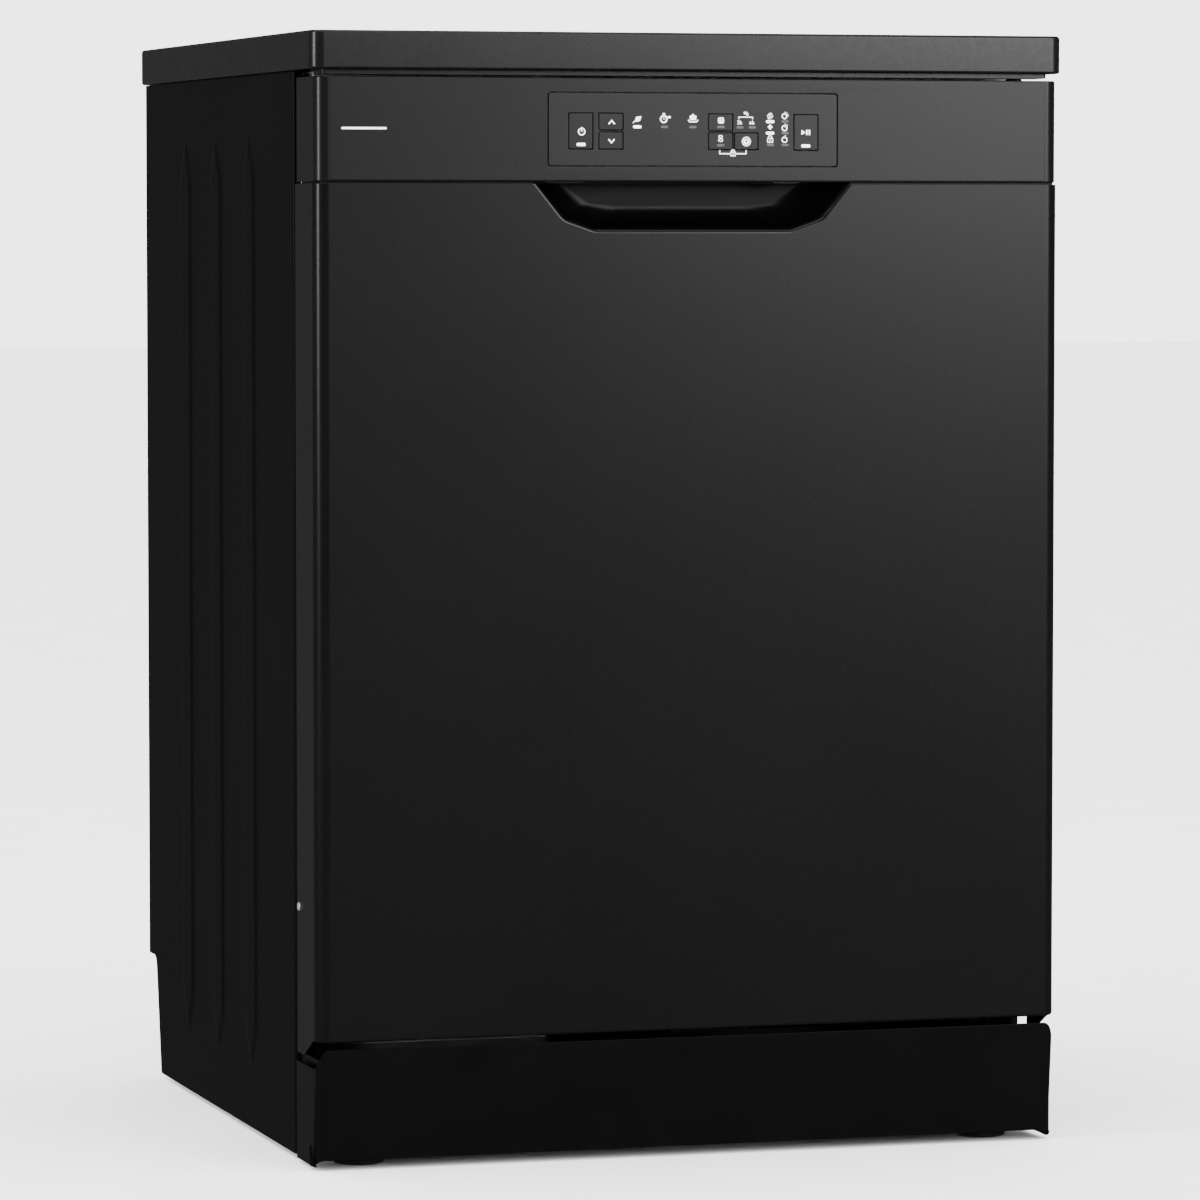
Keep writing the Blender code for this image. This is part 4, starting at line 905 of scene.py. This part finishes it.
bmesh.ops.recalc_face_normals(fields, faces=fields.faces)
piece("tub_pressed_fields", fields, "cabinet", brushed, angle=50)
dress(brushed, "tub_floor")


def tube(points, radius, steps=8, closed=False, bm=None, profile=None):
    """A round bar along a path in millimetres, with its ends closed, or a ring if the path is closed."""
    bm = bm or bmesh.new()
    points = [Vector(p) for p in points]
    count = len(points)
    shape = profile or [(radius * math.cos(2 * math.pi * k / steps),
                         radius * math.sin(2 * math.pi * k / steps))
                        for k in range(steps)]
    rings, normal = [], None
    for i, point in enumerate(points):
        before = points[i - 1] if i or closed else point
        after = points[(i + 1) % count] if i + 1 < count or closed else point
        along = (after - before).normalized()
        if normal is None:
            sideways = along.orthogonal() if abs(along.y) > 0.5 else along.cross(Vector((0, 1, 0)))
            normal = sideways.normalized()
        normal = (normal - along * normal.dot(along)).normalized()
        other = along.cross(normal)
        rings.append([bm.verts.new((point + normal * u + other * v) * MM) for u, v in shape])
    made = []
    for a, b in zip(rings, rings[1:] + ([rings[0]] if closed else [])):
        for k in range(len(shape)):
            n = (k + 1) % len(shape)
            made.append(bm.faces.new((a[k], a[n], b[n], b[k])))
    if not closed:
        made += [bm.faces.new(rings[0]), bm.faces.new(rings[-1])]
    bmesh.ops.recalc_face_normals(bm, faces=made)
    return bm


def bend(points, radius, steps=5):
    """A path in space with each inner corner rounded to a radius."""
    points = [Vector(p) for p in points]
    out = [points[0]]
    for a, b, c in zip(points, points[1:], points[2:]):
        before, after = (a - b).normalized(), (c - b).normalized()
        half = before.angle(after) / 2
        reach = min(radius / math.tan(half), (a - b).length * 0.49, (c - b).length * 0.49)
        start, end = b + before * reach, b + after * reach
        for k in range(steps + 1):
            t = k / steps
            out.append(start * (1 - t) ** 2 + b * 2 * t * (1 - t) + end * t ** 2)
    return out + [points[-1]]


SEAL_X, SEAL_Y, SEAL_LOW, SEAL_TOP = 274.8, -229.4, 173, 815.6
seal_corners = [(-SEAL_X, SEAL_Y, SEAL_LOW), (-SEAL_X, SEAL_Y, SEAL_TOP), (SEAL_X, SEAL_Y, SEAL_TOP),
                (SEAL_X, SEAL_Y, SEAL_LOW)]
seal_path = bend(seal_corners, 24, 8)
seal_profile = [(-3.0, -6.2), (3.0, -6.2), (3.0, -1.5), (2.4, 1.2), (2.9, 3.6), (1.8, 5.9), (-0.3, 6.2),
                (-2.4, 4.6), (-2.9, 1.6)]
piece("door_seal", tube(seal_path, 3, profile=[(-u, -v) for u, v in seal_profile]), "cabinet",
      rubber,
      ["door_gasket"], 60)
rollers = bmesh.new()
half_groove = [(0, 0), (6.4, 0), (7.0, 0.6), (7.0, 1.6), (5.6, 2.1)]
grooved = half_groove + [(radius, 5 - depth) for radius, depth in reversed(half_groove)]
for side in (-1, 1):
    for y in (-195, -125):
        lathe(grooved, (side * 270.4, y, RAIL_Z), (-side, 0, 0), 28, rollers)
piece("tub_rollers", rollers, "cabinet", acetal)

# ------------------------------------------------------------------ sump, filter, pipes and springs
# Moulded polypropylene water parts under and inside the tub. The flat filter is a perforated
# stainless disc; the cup in its middle turns a quarter turn to come out.

# Perforated sheet: bright steel with round holes 2 mm apart. The holes are not cut: the shade seen through
# them is painted as dark dots in a triangular net.
perforated = surface("perforated_stainless_steel_painted_hole_shade", ("a8aaab", "b4b6b7"), 40, 0.8, (0.22, 0.32), 0.002,
                     Metallic=1.0)
tree = perforated.node_tree
shader = [n for n in tree.nodes if n.type == "BSDF_PRINCIPLED"][0]
steel_tone = shader.inputs["Base Color"].links[0].from_socket
# Painted shade: the dots take the dark colour 141414 where the shade inside each hole would be.
hole_shade_dots = add_node(tree, "ShaderNodeTexVoronoi", {"Scale": 1000 / 2.4, "Randomness": 0.0},
                {"Vector": add_node(tree, "ShaderNodeTexCoord").outputs["Object"]})
inside = add_node(tree, "ShaderNodeMapRange", {"From Min": 0.24, "From Max": 0.3},
                  {"Value": hole_shade_dots.outputs["Distance"]})
holes = add_node(tree, "ShaderNodeMix", {"data_type": "RGBA"}, {"Factor": inside.outputs["Result"]})
hole_shade_sockets = [s for s in holes.inputs if s.type == "RGBA"]
hole_shade_sockets[0].default_value = linear("141414")
tree.links.new(steel_tone, hole_shade_sockets[1])
tree.links.new([s for s in holes.outputs if s.type == "RGBA"][0], shader.inputs["Base Color"])

dress(perforated, "flat_filter")
dress(moulded_grey, "sump_housing", "control_board_box")
pipe_bm = tube(bend([(0, 247, 170), (0, 247, 776), (0, 226, 792), (0, 66, 792)], 24, 6), 8.6, 16)
tube([(0, 246, 493), (0, 231, 493)], 8, 16, bm=pipe_bm)
for z in (240, 420, 640):
    prism(rounded(rectangle(-13, 13, z - 5, z + 5), 2, 3), "XZ", 252, 262, pipe_bm)
piece("feed_pipe_bent", pipe_bm, "cabinet", moulded_grey, ["feed_pipe"])
rose = lathe([(0, 14), (11.5, 14), (11.8, 8), (16, 7), (41, 4.2), (42, 3.2), (42, 1.2), (40, 0.2), (0, 0)],
             (0, 20, 788), (0, 0, 1), 40)
piece("ceiling_rose", rose, "cabinet", moulded_grey, ["ceiling_sprayer"])
low, high = size_of("salt_cap")
knob = [(0, 0), (21.5, 0), (21.5, 17), (27.4, 17.6), (28, 19), (28, 23), (26.6, 25.6), (23, 26.2), (0, 26.2)]
cap = lathe(knob, (-150, -90, low.z), (0, 0, 1), 48)
bevel(prism(rounded(rectangle(-170, -130, -93, -87), 2.5, 4), "XY", low.z + 25.5, high.z, cap), 1.0, 3,
      lambda a, b: min(a.z, b.z) > high.z - 0.1)
piece("salt_cap_grip", cap, "salt_cap", moulded_grey, ["salt_cap"])
low, high = size_of("filter_cup")
cup_x, cup_y = (low.x + high.x) / 2, (low.y + high.y) / 2
cup_r, cup_h = (high.x - low.x) / 2, high.z - low.z
cup = lathe([(0, 0), (cup_r - 4, 0), (cup_r - 2.5, 1.5), (cup_r - 2.5, cup_h - 6), (cup_r - 0.6, cup_h - 5),
             (cup_r, cup_h - 3), (cup_r - 0.8, cup_h - 0.6), (cup_r - 3.4, cup_h - 0.4),
             (cup_r - 4.6, cup_h - 4), (0, cup_h - 6)], (cup_x, cup_y, low.z), (0, 0, 1), 40)
bevel(prism(rounded(rectangle(cup_x - cup_r + 4.5, cup_x + cup_r - 4.5, cup_y - 2, cup_y + 2), 1.6, 3), "XY",
            high.z - 7, high.z - 0.4, cup), 0.7, 2, lambda a, b: min(a.z, b.z) > high.z - 0.5)
piece("filter_cup_body", cup, "filter_cup", moulded_grey, ["filter_cup"])

# The door springs: close coils of zinc-plated wire between the base and the hinge arms.
COILS, COIL_STEPS, SPRING_WIRE_R = 14, 12, 1.05
for node in ("left_door_spring", "right_door_spring"):
    low, high = size_of(node)
    centre = (low + high) / 2
    coil = []
    for k in range(COILS * COIL_STEPS + 1):
        angle = 2 * math.pi * k / COIL_STEPS
        coil.append((centre.x + 3.0 * math.cos(angle), centre.y + 4.8 * math.sin(angle),
                     low.z + 1.2 + (high.z - low.z - 2.4) * k / (COILS * COIL_STEPS)))
    piece(node + "_coil", tube(coil, SPRING_WIRE_R, 8), "cabinet", screw_zinc, [node], 60)

# ------------------------------------------------------------------ inner door
# A stainless liner pressed with a raised frame round its field, screwed to the skin round its edge.
# It carries the dispenser, a grey moulding with a flap over the tablet's cup and a rinse-aid cap.

LINER_FACE = -236.5
low, high = size_of("door_liner")
disp_low, disp_high = size_of("detergent_dispenser")
right = [(272, low.z), (272, 232), (high.x, 232), (high.x, 744), (high.x - 3, 744), (high.x - 3, high.z)]
outer = [(-272, low.z)] + right + [(-u, v) for u, v in reversed(right[1:])]
opening = rounded(rectangle(-92.4, 92.4, disp_low.z - 0.4, disp_high.z + 0.4), 5, 4)
field_rim = rounded(rectangle(-236, 236, 236, 740), 18, 6)
piece("inner_door_sheet", plate([rounded(outer, 0), field_rim], "XZ", LINER_FACE - 1.2, LINER_FACE, 0.3),
      "door",
      brushed, ["door_liner"])
rings = []
for k in range(9):
    share = k / 8
    inset = 20 * share
    rim = rectangle(-236.3 + inset, 236.3 - inset, 235.7 + inset, 740.3 - inset)
    rings.append((rounded(rim, 18 - 4 * share, 6),
                  LINER_FACE - 0.6 + 3.4 * math.sin(math.pi * share) ** 0.8))
field_bm = bmesh.new()
rows = [[field_bm.verts.new(Vector((u, y, v)) * MM) for u, v in ring] for ring, y in rings]
for a, b in zip(rows, rows[1:]):
    for i, start in enumerate(a):
        k = (i + 1) % len(a)
        field_bm.faces.new((start, a[k], b[k], b[i]))
field_frame = piece("inner_door_frame_press", field_bm, "door", brushed, angle=50)
thicken(field_frame, 0.8, -1.0 if field_frame.data.polygons[5].normal.y > 0 else 1.0)
settle(field_frame, 50)
inner_field = rounded(rectangle(-216.4, 216.4, 255.6, 720.4), 14, 6)
piece("inner_door_field", plate([inner_field, opening], "XZ", LINER_FACE - 1.4, LINER_FACE - 0.5, 0.1),
      "door",
      brushed)
liner_screws = bmesh.new()
for x in (-285, 285):
    for z in (260, 380, 500, 620, 730):
        screw(liner_screws, (x, LINER_FACE, z), (0, 1, 0), 4.2, 2.2)
for x in (-200, 0, 200):
    screw(liner_screws, (x, LINER_FACE, 150), (0, 1, 0), 4.2, 2.2)
piece("inner_door_screws", liner_screws, "door", screw_zinc)
side_screw = screw(bmesh.new(), (-DOOR_X, -244, 197), (-1, 0, 0), 3.2, 1.4)
piece("door_side_screw", side_screw, "door", screw_zinc)

# The dispenser's housing, with its cup, the rinse-aid bore and a rim round each.
cap_z = disp_low.z + 78
housing_rim = rounded(rectangle(-92, 92, disp_low.z, disp_high.z), 7, 6)
cup_rim = rounded(rectangle(-80, -2, disp_low.z + 18, disp_high.z - 16), 8, 6)
face_bm = plate([housing_rim, cup_rim, circle(50, cap_z, 20.6, 40)], "XZ", -236, disp_high.y, 1.0)
piece("dispenser_face", face_bm, "door", moulded_grey, ["detergent_dispenser"])
cup_bm = prism(cup_rim, "XZ", -256, -235)
bevel(cup_bm, 5, 4, lambda a, b: max(a.y, b.y) < -255.9)
bmesh.ops.delete(cup_bm, geom=[f for f in cup_bm.faces if f.normal.y > 0.99], context="FACES")
cup_wall = piece("dispenser_cup", cup_bm, "door", moulded_grey)
thicken(cup_wall, 1.5, 1.0)
settle(cup_wall)
well = lathe([(0, -14), (20.8, -14), (20.8, 7), (22.4, 7), (22.4, -15.5), (0, -15.5)], (50, -237, cap_z),
             (0, 1, 0), 40)
piece("rinse_aid_well", well, "door", moulded_grey)
low, high = size_of("detergent_lid")
flap = prism(rounded(rectangle(low.x, high.x, low.z, high.z), 7, 6), "XZ", low.y, high.y - 0.8)
bevel(flap, 0.9, 3, lambda a, b: min(a.y, b.y) > high.y - 0.9)
prism(rounded(rectangle(-58, -24, high.z - 20, high.z - 8), 5.5, 6), "XZ", high.y - 1.2, high.y - 0.1, flap)
for k in range(5):
    groove_z = low.z + 14 + k * 8
    prism(rounded(rectangle(-66, -16, groove_z, groove_z + 2), 0.9, 3), "XZ", high.y - 1.2, high.y - 0.3,
          flap)
piece("detergent_flap", flap, "detergent_lid", moulded_grey, ["detergent_lid"])
dial = lathe([(0, 0), (19.5, 0), (19.5, 8.5), (18.4, 10.2), (14, 11.2), (0, 11.2)], (50, -238, cap_z),
             (0, 1, 0), 48)
bevel(prism(rounded(rectangle(35, 65, cap_z - 2.4, cap_z + 2.4), 2, 4), "XZ", -227.2, -225.9, dial), 0.5, 2,
      lambda a, b: min(a.y, b.y) > -226)
piece("rinse_aid_dial", dial, "rinse_aid_cap", acetal, ["rinse_aid_cap"])
dress(moulded_black, "door_latch")

# ------------------------------------------------------------------ lower rack
# Round steel wire, bent and spot welded into a basket with rows of upright tines, then coated with grey
# polyamide. Moulded carriers are riveted to its sides and hold the axles of four wheels.

# Polyamide coat on wire: pale grey, slightly glossy and soft at the crossings.
wire_coat = surface("polyamide_coat_grey", ("9a9ea2", "a6aaad"), 18, 1.6, (0.3, 0.42), 0.02)

WIRE_R, THIN_R, CROSS = 2.1, 1.7, 3.4  # frame wire, filling wire, and the step between crossed wires


def spaced(first, last, count):
    """Evenly spaced values from first to last, both included."""
    return [first + (last - first) * k / (count - 1) for k in range(count)]


def rim(bm, x, y0, y1, z):
    """A wire ring with rounded corners round the basket."""
    path = [(u, v, z) for u, v in rounded(rectangle(-x, x, y0, y1), 22, 6)]
    tube(path, WIRE_R, 8, True, bm)


def wire_rack(low, high, rims, across, along):
    """A wire basket: rings round it, and bent wires that run down, across the floor and up again."""
    bm = bmesh.new()
    x, front, rear = high.x - WIRE_R, low.y + WIRE_R, high.y - WIRE_R
    floor_z, inner = low.z + THIN_R, x - WIRE_R - THIN_R
    for level in rims:
        rim(bm, x, front, rear, level)
    for y in spaced(front + 30, rear - 30, across):
        walls = [(-inner, y, high.z - 1), (-inner, y, floor_z), (inner, y, floor_z), (inner, y, high.z - 1)]
        tube(bend(walls, 16, 5), THIN_R, 8, False, bm)
    for u in spaced(-x + 30, x - 30, along):
        upper_z = floor_z + CROSS
        near, far = front + WIRE_R + THIN_R, rear - WIRE_R - THIN_R
        walls = [(u, near, high.z - 1), (u, near, upper_z), (u, far, upper_z), (u, far, high.z - 1)]
        tube(bend(walls, 16, 5), THIN_R, 8, False, bm)
    return bm


def tines(bm, x, ys, floor_z, height, lean=0.0):
    """A row of upright wires with domed ends, welded to a wire that runs along the floor."""
    tube([(x, ys[0] - 12, floor_z), (x, ys[-1] + 12, floor_z)], THIN_R, 8, False, bm)
    for y in ys:
        foot, tip = Vector((x, y, floor_z)), Vector((x + lean, y, floor_z + height))
        lathe([(THIN_R, 0), (THIN_R, height - 1.4), (THIN_R * 0.7, height - 0.4), (0, height)], foot,
              tip - foot, 8, bm)


RACK_FLOOR, AXLE_Z = 214, 184.3
low, high = size_of("lower_rack")
low.z = RACK_FLOOR
rack = wire_rack(low, high, (high.z - WIRE_R, 306, 260), 9, 11)
TINE_Z = low.z + THIN_R + 2 * CROSS
for x in (-196, -158, -92, -54, 12, 50, 112):
    tines(rack, x, spaced(-160, 184, 13), TINE_Z, 66 if x < 0 else 52)
tines(rack, 160, spaced(50, 184, 6), TINE_Z, 52)
tines(rack, 198, spaced(50, 184, 6), TINE_Z, 52)
piece("lower_rack_wires", rack, "lower_rack", wire_coat, ["lower_rack"], 60)
carriers, axles = bmesh.new(), bmesh.new()
for side in (-1, 1):
    for y in (-110, 150):
        shape = rounded([(y - 17, 236), (y - 13, 178.5), (y + 13, 178.5), (y + 17, 236)], [5, 11, 11, 5], 6)
        hub = (side * 249, y, AXLE_Z)
        prism(shape, "YZ", *sorted((side * 247.2, side * 250.2)), carriers)
        prism(rounded(rectangle(y - 21, y + 21, 229, 240), 3, 4), "YZ", *sorted((side * 244, side * 250.8)),
              carriers)
        lathe([(0, -2), (7.5, -2), (7.5, 1.2), (6.3, 3.6), (0, 3.6)], hub, (side, 0, 0), 24, carriers)
        lathe([(0, 0), (3.5, 0), (3.5, 12.6), (4.9, 12.7), (4.9, 13.4), (2.6, 14), (0, 14)], hub,
              (side, 0, 0), 20, axles)
bevel(carriers, 0.5, 2, angle=50)
piece("lower_rack_carriers", carriers, "lower_rack", moulded_grey)
piece("lower_rack_axles", axles, "lower_rack", screw_zinc)

for node in ("front_left_wheel", "front_right_wheel", "rear_left_wheel", "rear_right_wheel"):
    low, high = size_of(node)
    centre, half = (low + high) / 2, (high.x - low.x) / 2
    side = math.copysign(1, centre.x)
    holes = [circle(centre.y + 9.3 * math.cos(a), centre.z + 9.3 * math.sin(a), 2.6, 20)
             for a in (2 * math.pi * k / 6 for k in range(6))]
    wheel = plate([circle(centre.y, centre.z, 14.5, 40), circle(centre.y, centre.z, 4.2, 24)] + holes,
                  "YZ", centre.x - 1.4, centre.x + 1.4)
    tread = [(13.6, -half), (17.2, -half), (18, 0.8 - half), (18, half - 0.8), (17.2, half), (13.6, half)]
    lathe(tread + tread[:1], centre, (side, 0, 0), 40, wheel)
    boss = [(4.2, -half), (6.2, -half), (6.8, 0.6 - half), (6.8, half - 0.6), (6.2, half), (4.2, half)]
    lathe(boss + boss[:1], centre, (side, 0, 0), 32, wheel)
    piece(node + "_spoked", wheel, node, moulded_grey, [node])

# ------------------------------------------------------------------ upper rack and rails
# The same coated wire, with lower tines. Steel bars along its sides carry the rollers that run in two
# zinc-plated rails, and a moulded duct under its floor feeds the upper spray arm from the rear.

low, high = size_of("upper_rack")
RACK_FLOOR = 502
low.z = RACK_FLOOR
high.x = 246  # the wires stop short of the rollers
rack = wire_rack(low, high, (high.z - WIRE_R, 542), 9, 9)
TINE_Z = RACK_FLOOR + THIN_R + 2 * CROSS
for x, lean in ((-186, 0), (-112, 0), (-38, 6), (38, -6), (112, 0), (186, 0)):
    tines(rack, x, spaced(-156, 180, 12), TINE_Z, 40, lean)
piece("upper_rack_wires", rack, "upper_rack", wire_coat, ["upper_rack"], 60)
bars, rollers, pins = bmesh.new(), bmesh.new(), bmesh.new()
for side in (-1, 1):
    prism(rounded(rectangle(-196, 218, RAIL_Z - 5, RAIL_Z + 5), 4, 4), "YZ",
          *sorted((side * 246.2, side * 249)), bars)
    for y in (60, 200):
        place = (side * 255.4, y, RAIL_Z)
        tyre = [(2.4, -2.9), (6.4, -2.9), (7.2, -2.2), (7.2, 2.2), (6.4, 2.9), (2.4, 2.9)]
        lathe(tyre + tyre[:1], (side * 259, y, RAIL_Z), (side, 0, 0), 32, rollers)
        lathe([(0, -6.4), (2.4, -6.4), (2.4, 6), (3.6, 6.1), (3.6, 6.4), (0, 6.4)], place, (side, 0, 0), 16,
              pins)
bevel(bars, 0.5, 2, angle=60)
piece("upper_rack_bars", bars, "upper_rack", zinc)
piece("upper_rack_pins", pins, "upper_rack", screw_zinc)
piece("upper_rack_rollers", rollers, "upper_rack", acetal)
duct = prism(rounded(rectangle(-14, 14, 10, 227), [12, 12, 3, 3], 6), "XY", 489, 501.6)
bevel(duct, 2.6, 4, angle=60)
lathe([(0, 494), (10, 494), (10, 475.2), (8.6, 474), (0, 474)], (0, 25, 0), (0, 0, 1), 36, duct)
for y in (70, 120, 170):
    prism(rounded(rectangle(-15.5, 15.5, y - 3, y + 3), 1.5, 3), "XY", 496, 503.2, duct)
piece("feed_duct", duct, "upper_rack", moulded_grey)

for side, node in ((-1, "left_rail"), (1, "right_rail")):
    low, high = size_of(node)
    x0, x1 = low.x, high.x
    web0, web1 = sorted((side * 262.6, side * 264.4))
    slots = [rounded(rectangle(y, y + 26, RAIL_Z - 2, RAIL_Z + 2), 1.95, 5) for y in range(-170, 210, 72)]
    rail = plate([rectangle(low.y, high.y, low.z + 0.8, high.z - 0.8)] + slots, "YZ", web0, web1)
    for z0, z1 in ((low.z, low.z + 1.4), (high.z - 1.4, high.z)):
        bevel(prism(rounded(rectangle(x0, x1, low.y, high.y), 2, 4), "XY", z0, z1, rail), 0.3, 2,
              lambda a, b: abs(a.y - b.y) > 100 and abs(a.x - b.x) < 1 and abs(a.x) > 266)
    piece(node + "_section", rail, node, zinc, [node])

# ------------------------------------------------------------------ spray arms
# Two hollow arms, each welded from two polypropylene shells whose seam runs round the blade. Slotted
# nozzles stand up from the top and a bearing hub with ribs snaps over the feed.

SEAM_H, ARM_HALF, FEED_Y, HUB_R, HUB_BORE = 1.2, 4, 25, 16, 11


def joined(*sources):
    """Several bmeshes as one."""
    first = sources[0]
    for source in sources[1:]:
        mesh = bpy.data.meshes.new("part")
        source.to_mesh(mesh)
        source.free()
        first.from_mesh(mesh)
        bpy.data.meshes.remove(mesh)
    return first


def nozzle(bm, x, y, z, turn, along=4.2, wide=2.3):
    """A slotted jet: a raised oval lip round a sunken mouth."""
    spin = Matrix.Rotation(turn, 2)

    def oval(grow):
        points = rounded(rectangle(-along - grow, along + grow, -wide - grow, wide + grow),
                         wide + grow - 0.05, 6)
        return [tuple(Vector((x, y)) + spin @ Vector(p)) for p in points]

    rings = [(oval(1.6), z - 0.6), (oval(1.3), z + 0.7), (oval(0.6), z + 1.1), (oval(0), z + 0.6),
             (oval(-0.6), z - 1.4)]
    pillow(rings, lambda u, v, h: Vector((u, v, h)), bm)


for node, hub_low, hub_high, below in (("lower_spray_arm", 181, 198, 12), ("upper_spray_arm", 471, 486, 5)):
    z = hub_low + below
    blade = [(-200, 12), (-40, 1), (40, 1), (200, 12), (200, 38), (40, 49), (-40, 49), (-200, 38)]
    inner = [(-198, 13.5), (-40, 2.5), (40, 2.5), (198, 13.5), (198, 36.5), (40, 47.5), (-40, 47.5),
             (-198, 36.5)]
    radii = [12, 40, 40, 12, 12, 40, 40, 12]
    bearing = circle(0, FEED_Y, HUB_BORE + 0.2, 40)
    arm = joined(plate([rounded(inner, radii, 8), bearing], "XY", z - ARM_HALF, z + ARM_HALF, 2.6, 3),
                 plate([rounded(blade, radii, 8), bearing], "XY", z - SEAM_H / 2, z + SEAM_H / 2, 0.4, 2))
    wall = [(HUB_BORE, hub_low), (HUB_R - 0.8, hub_low), (HUB_R, hub_low + 0.8), (HUB_R, hub_high - 0.8),
            (HUB_R - 0.8, hub_high), (HUB_BORE, hub_high)]
    lathe(wall + wall[:1], (0, FEED_Y, 0), (0, 0, 1), 40, arm)
    lid_low, lid_high = (hub_high - 2, hub_high - 0.4) if node == "lower_spray_arm" else (hub_low + 0.4,
                                                                                          hub_low + 2)
    lid = [(0, lid_low), (HUB_BORE + 0.4, lid_low), (HUB_BORE + 0.4, lid_high), (0, lid_high)]
    lathe(lid, (0, FEED_Y, 0), (0, 0, 1), 40, arm)
    for k in range(8):
        turned = math.pi * (k + 0.5) / 4
        x, y = (HUB_R + 1) * math.cos(turned), FEED_Y + (HUB_R + 1) * math.sin(turned)
        tube([(x, y, z - 4.6), (x, y, z + 4.6)], 1.1, 8, False, arm)
    for side in (-1, 1):
        for k, reach in enumerate((46, 78, 110, 142, 172)):
            nozzle(arm, side * reach, FEED_Y + side * (k % 2 * 8 - 4), z + ARM_HALF, side * (0.5 - 0.25 * k))
        nozzle(arm, side * 188, FEED_Y - side * 4, z + ARM_HALF, math.pi / 2, 2.6, 1.8)
    piece(node + "_shells", arm, node, moulded_grey, [node], 40)

# ------------------------------------------------------------------ cutlery basket
# A lift-out grey moulding: slotted walls round six cells, a floor of round holes, a thick rim, and a
# grip across the middle wall that leaves room for two fingers.

low, high = size_of("cutlery_basket")
RIM_H, WALL, SLOT, PITCH = 9, 2.5, 4, 9.5


def grille(plane, u0, u1, v0, v1, at, thick, rows):
    """A moulded wall with rows of upright slots."""
    loops = [rectangle(u0, u1, v0, v1)]
    count = int((u1 - u0 - 12) // PITCH)
    start = (u0 + u1 - (count - 1) * PITCH) / 2
    step = (v1 - v0 - RIM_H - 8) / rows
    for k in range(count):
        for row in range(rows):
            foot = v0 + 8 + row * step
            loops.append(rounded(rectangle(start + k * PITCH - SLOT / 2, start + k * PITCH + SLOT / 2, foot,
                                           foot + step - 5),
                                 SLOT / 2 - 0.05, 4))
    return plate(loops, plane, at, at + thick)


walls = [grille("YZ", low.y, high.y, low.z, high.z - 1, x, WALL, 3)
         for x in (low.x + 0.4, high.x - WALL - 0.4)]
walls += [grille("XZ", low.x + 0.4, high.x - 0.4, low.z, high.z - 1, y, WALL, 3)
          for y in (low.y + 0.4, high.y - WALL - 0.4)]
middle = (low.x + high.x) / 2
walls.append(grille("YZ", low.y + 1, high.y - 1, low.z, high.z - 14, middle - 1, 2, 2))
for share in (1 / 3, 2 / 3):
    y = low.y + (high.y - low.y) * share
    walls.append(grille("XZ", low.x + 1, high.x - 1, low.z, high.z - 22, y - 1, 2, 2))
drain = [rectangle(low.x + 0.8, high.x - 0.8, low.y + 0.8, high.y - 0.8)]
for i in range(8):
    for k in range(20):
        drain.append(circle(low.x + 8 + i * 10, low.y + 5 + k * 10, 2.6, 12))
walls.append(plate(drain, "XY", low.z, low.z + 2.5))
lip = plate([rounded(rectangle(low.x, high.x, low.y, high.y), 4, 4),
             rounded(rectangle(low.x + 3.4, high.x - 3.4, low.y + 3.4, high.y - 3.4), 2.4, 4)],
            "XY", high.z - RIM_H, high.z, 0.8)
grip = prism(rounded(rectangle(-118, -42, high.z - 16, high.z - 3), 5, 5), "YZ", middle - 4.5, middle + 4.5)
bevel(grip, 2.2, 4, angle=60)
piece("cutlery_basket_grille", joined(*walls, lip, grip), "cutlery_basket", moulded_grey,
      ["cutlery_basket"], 40)
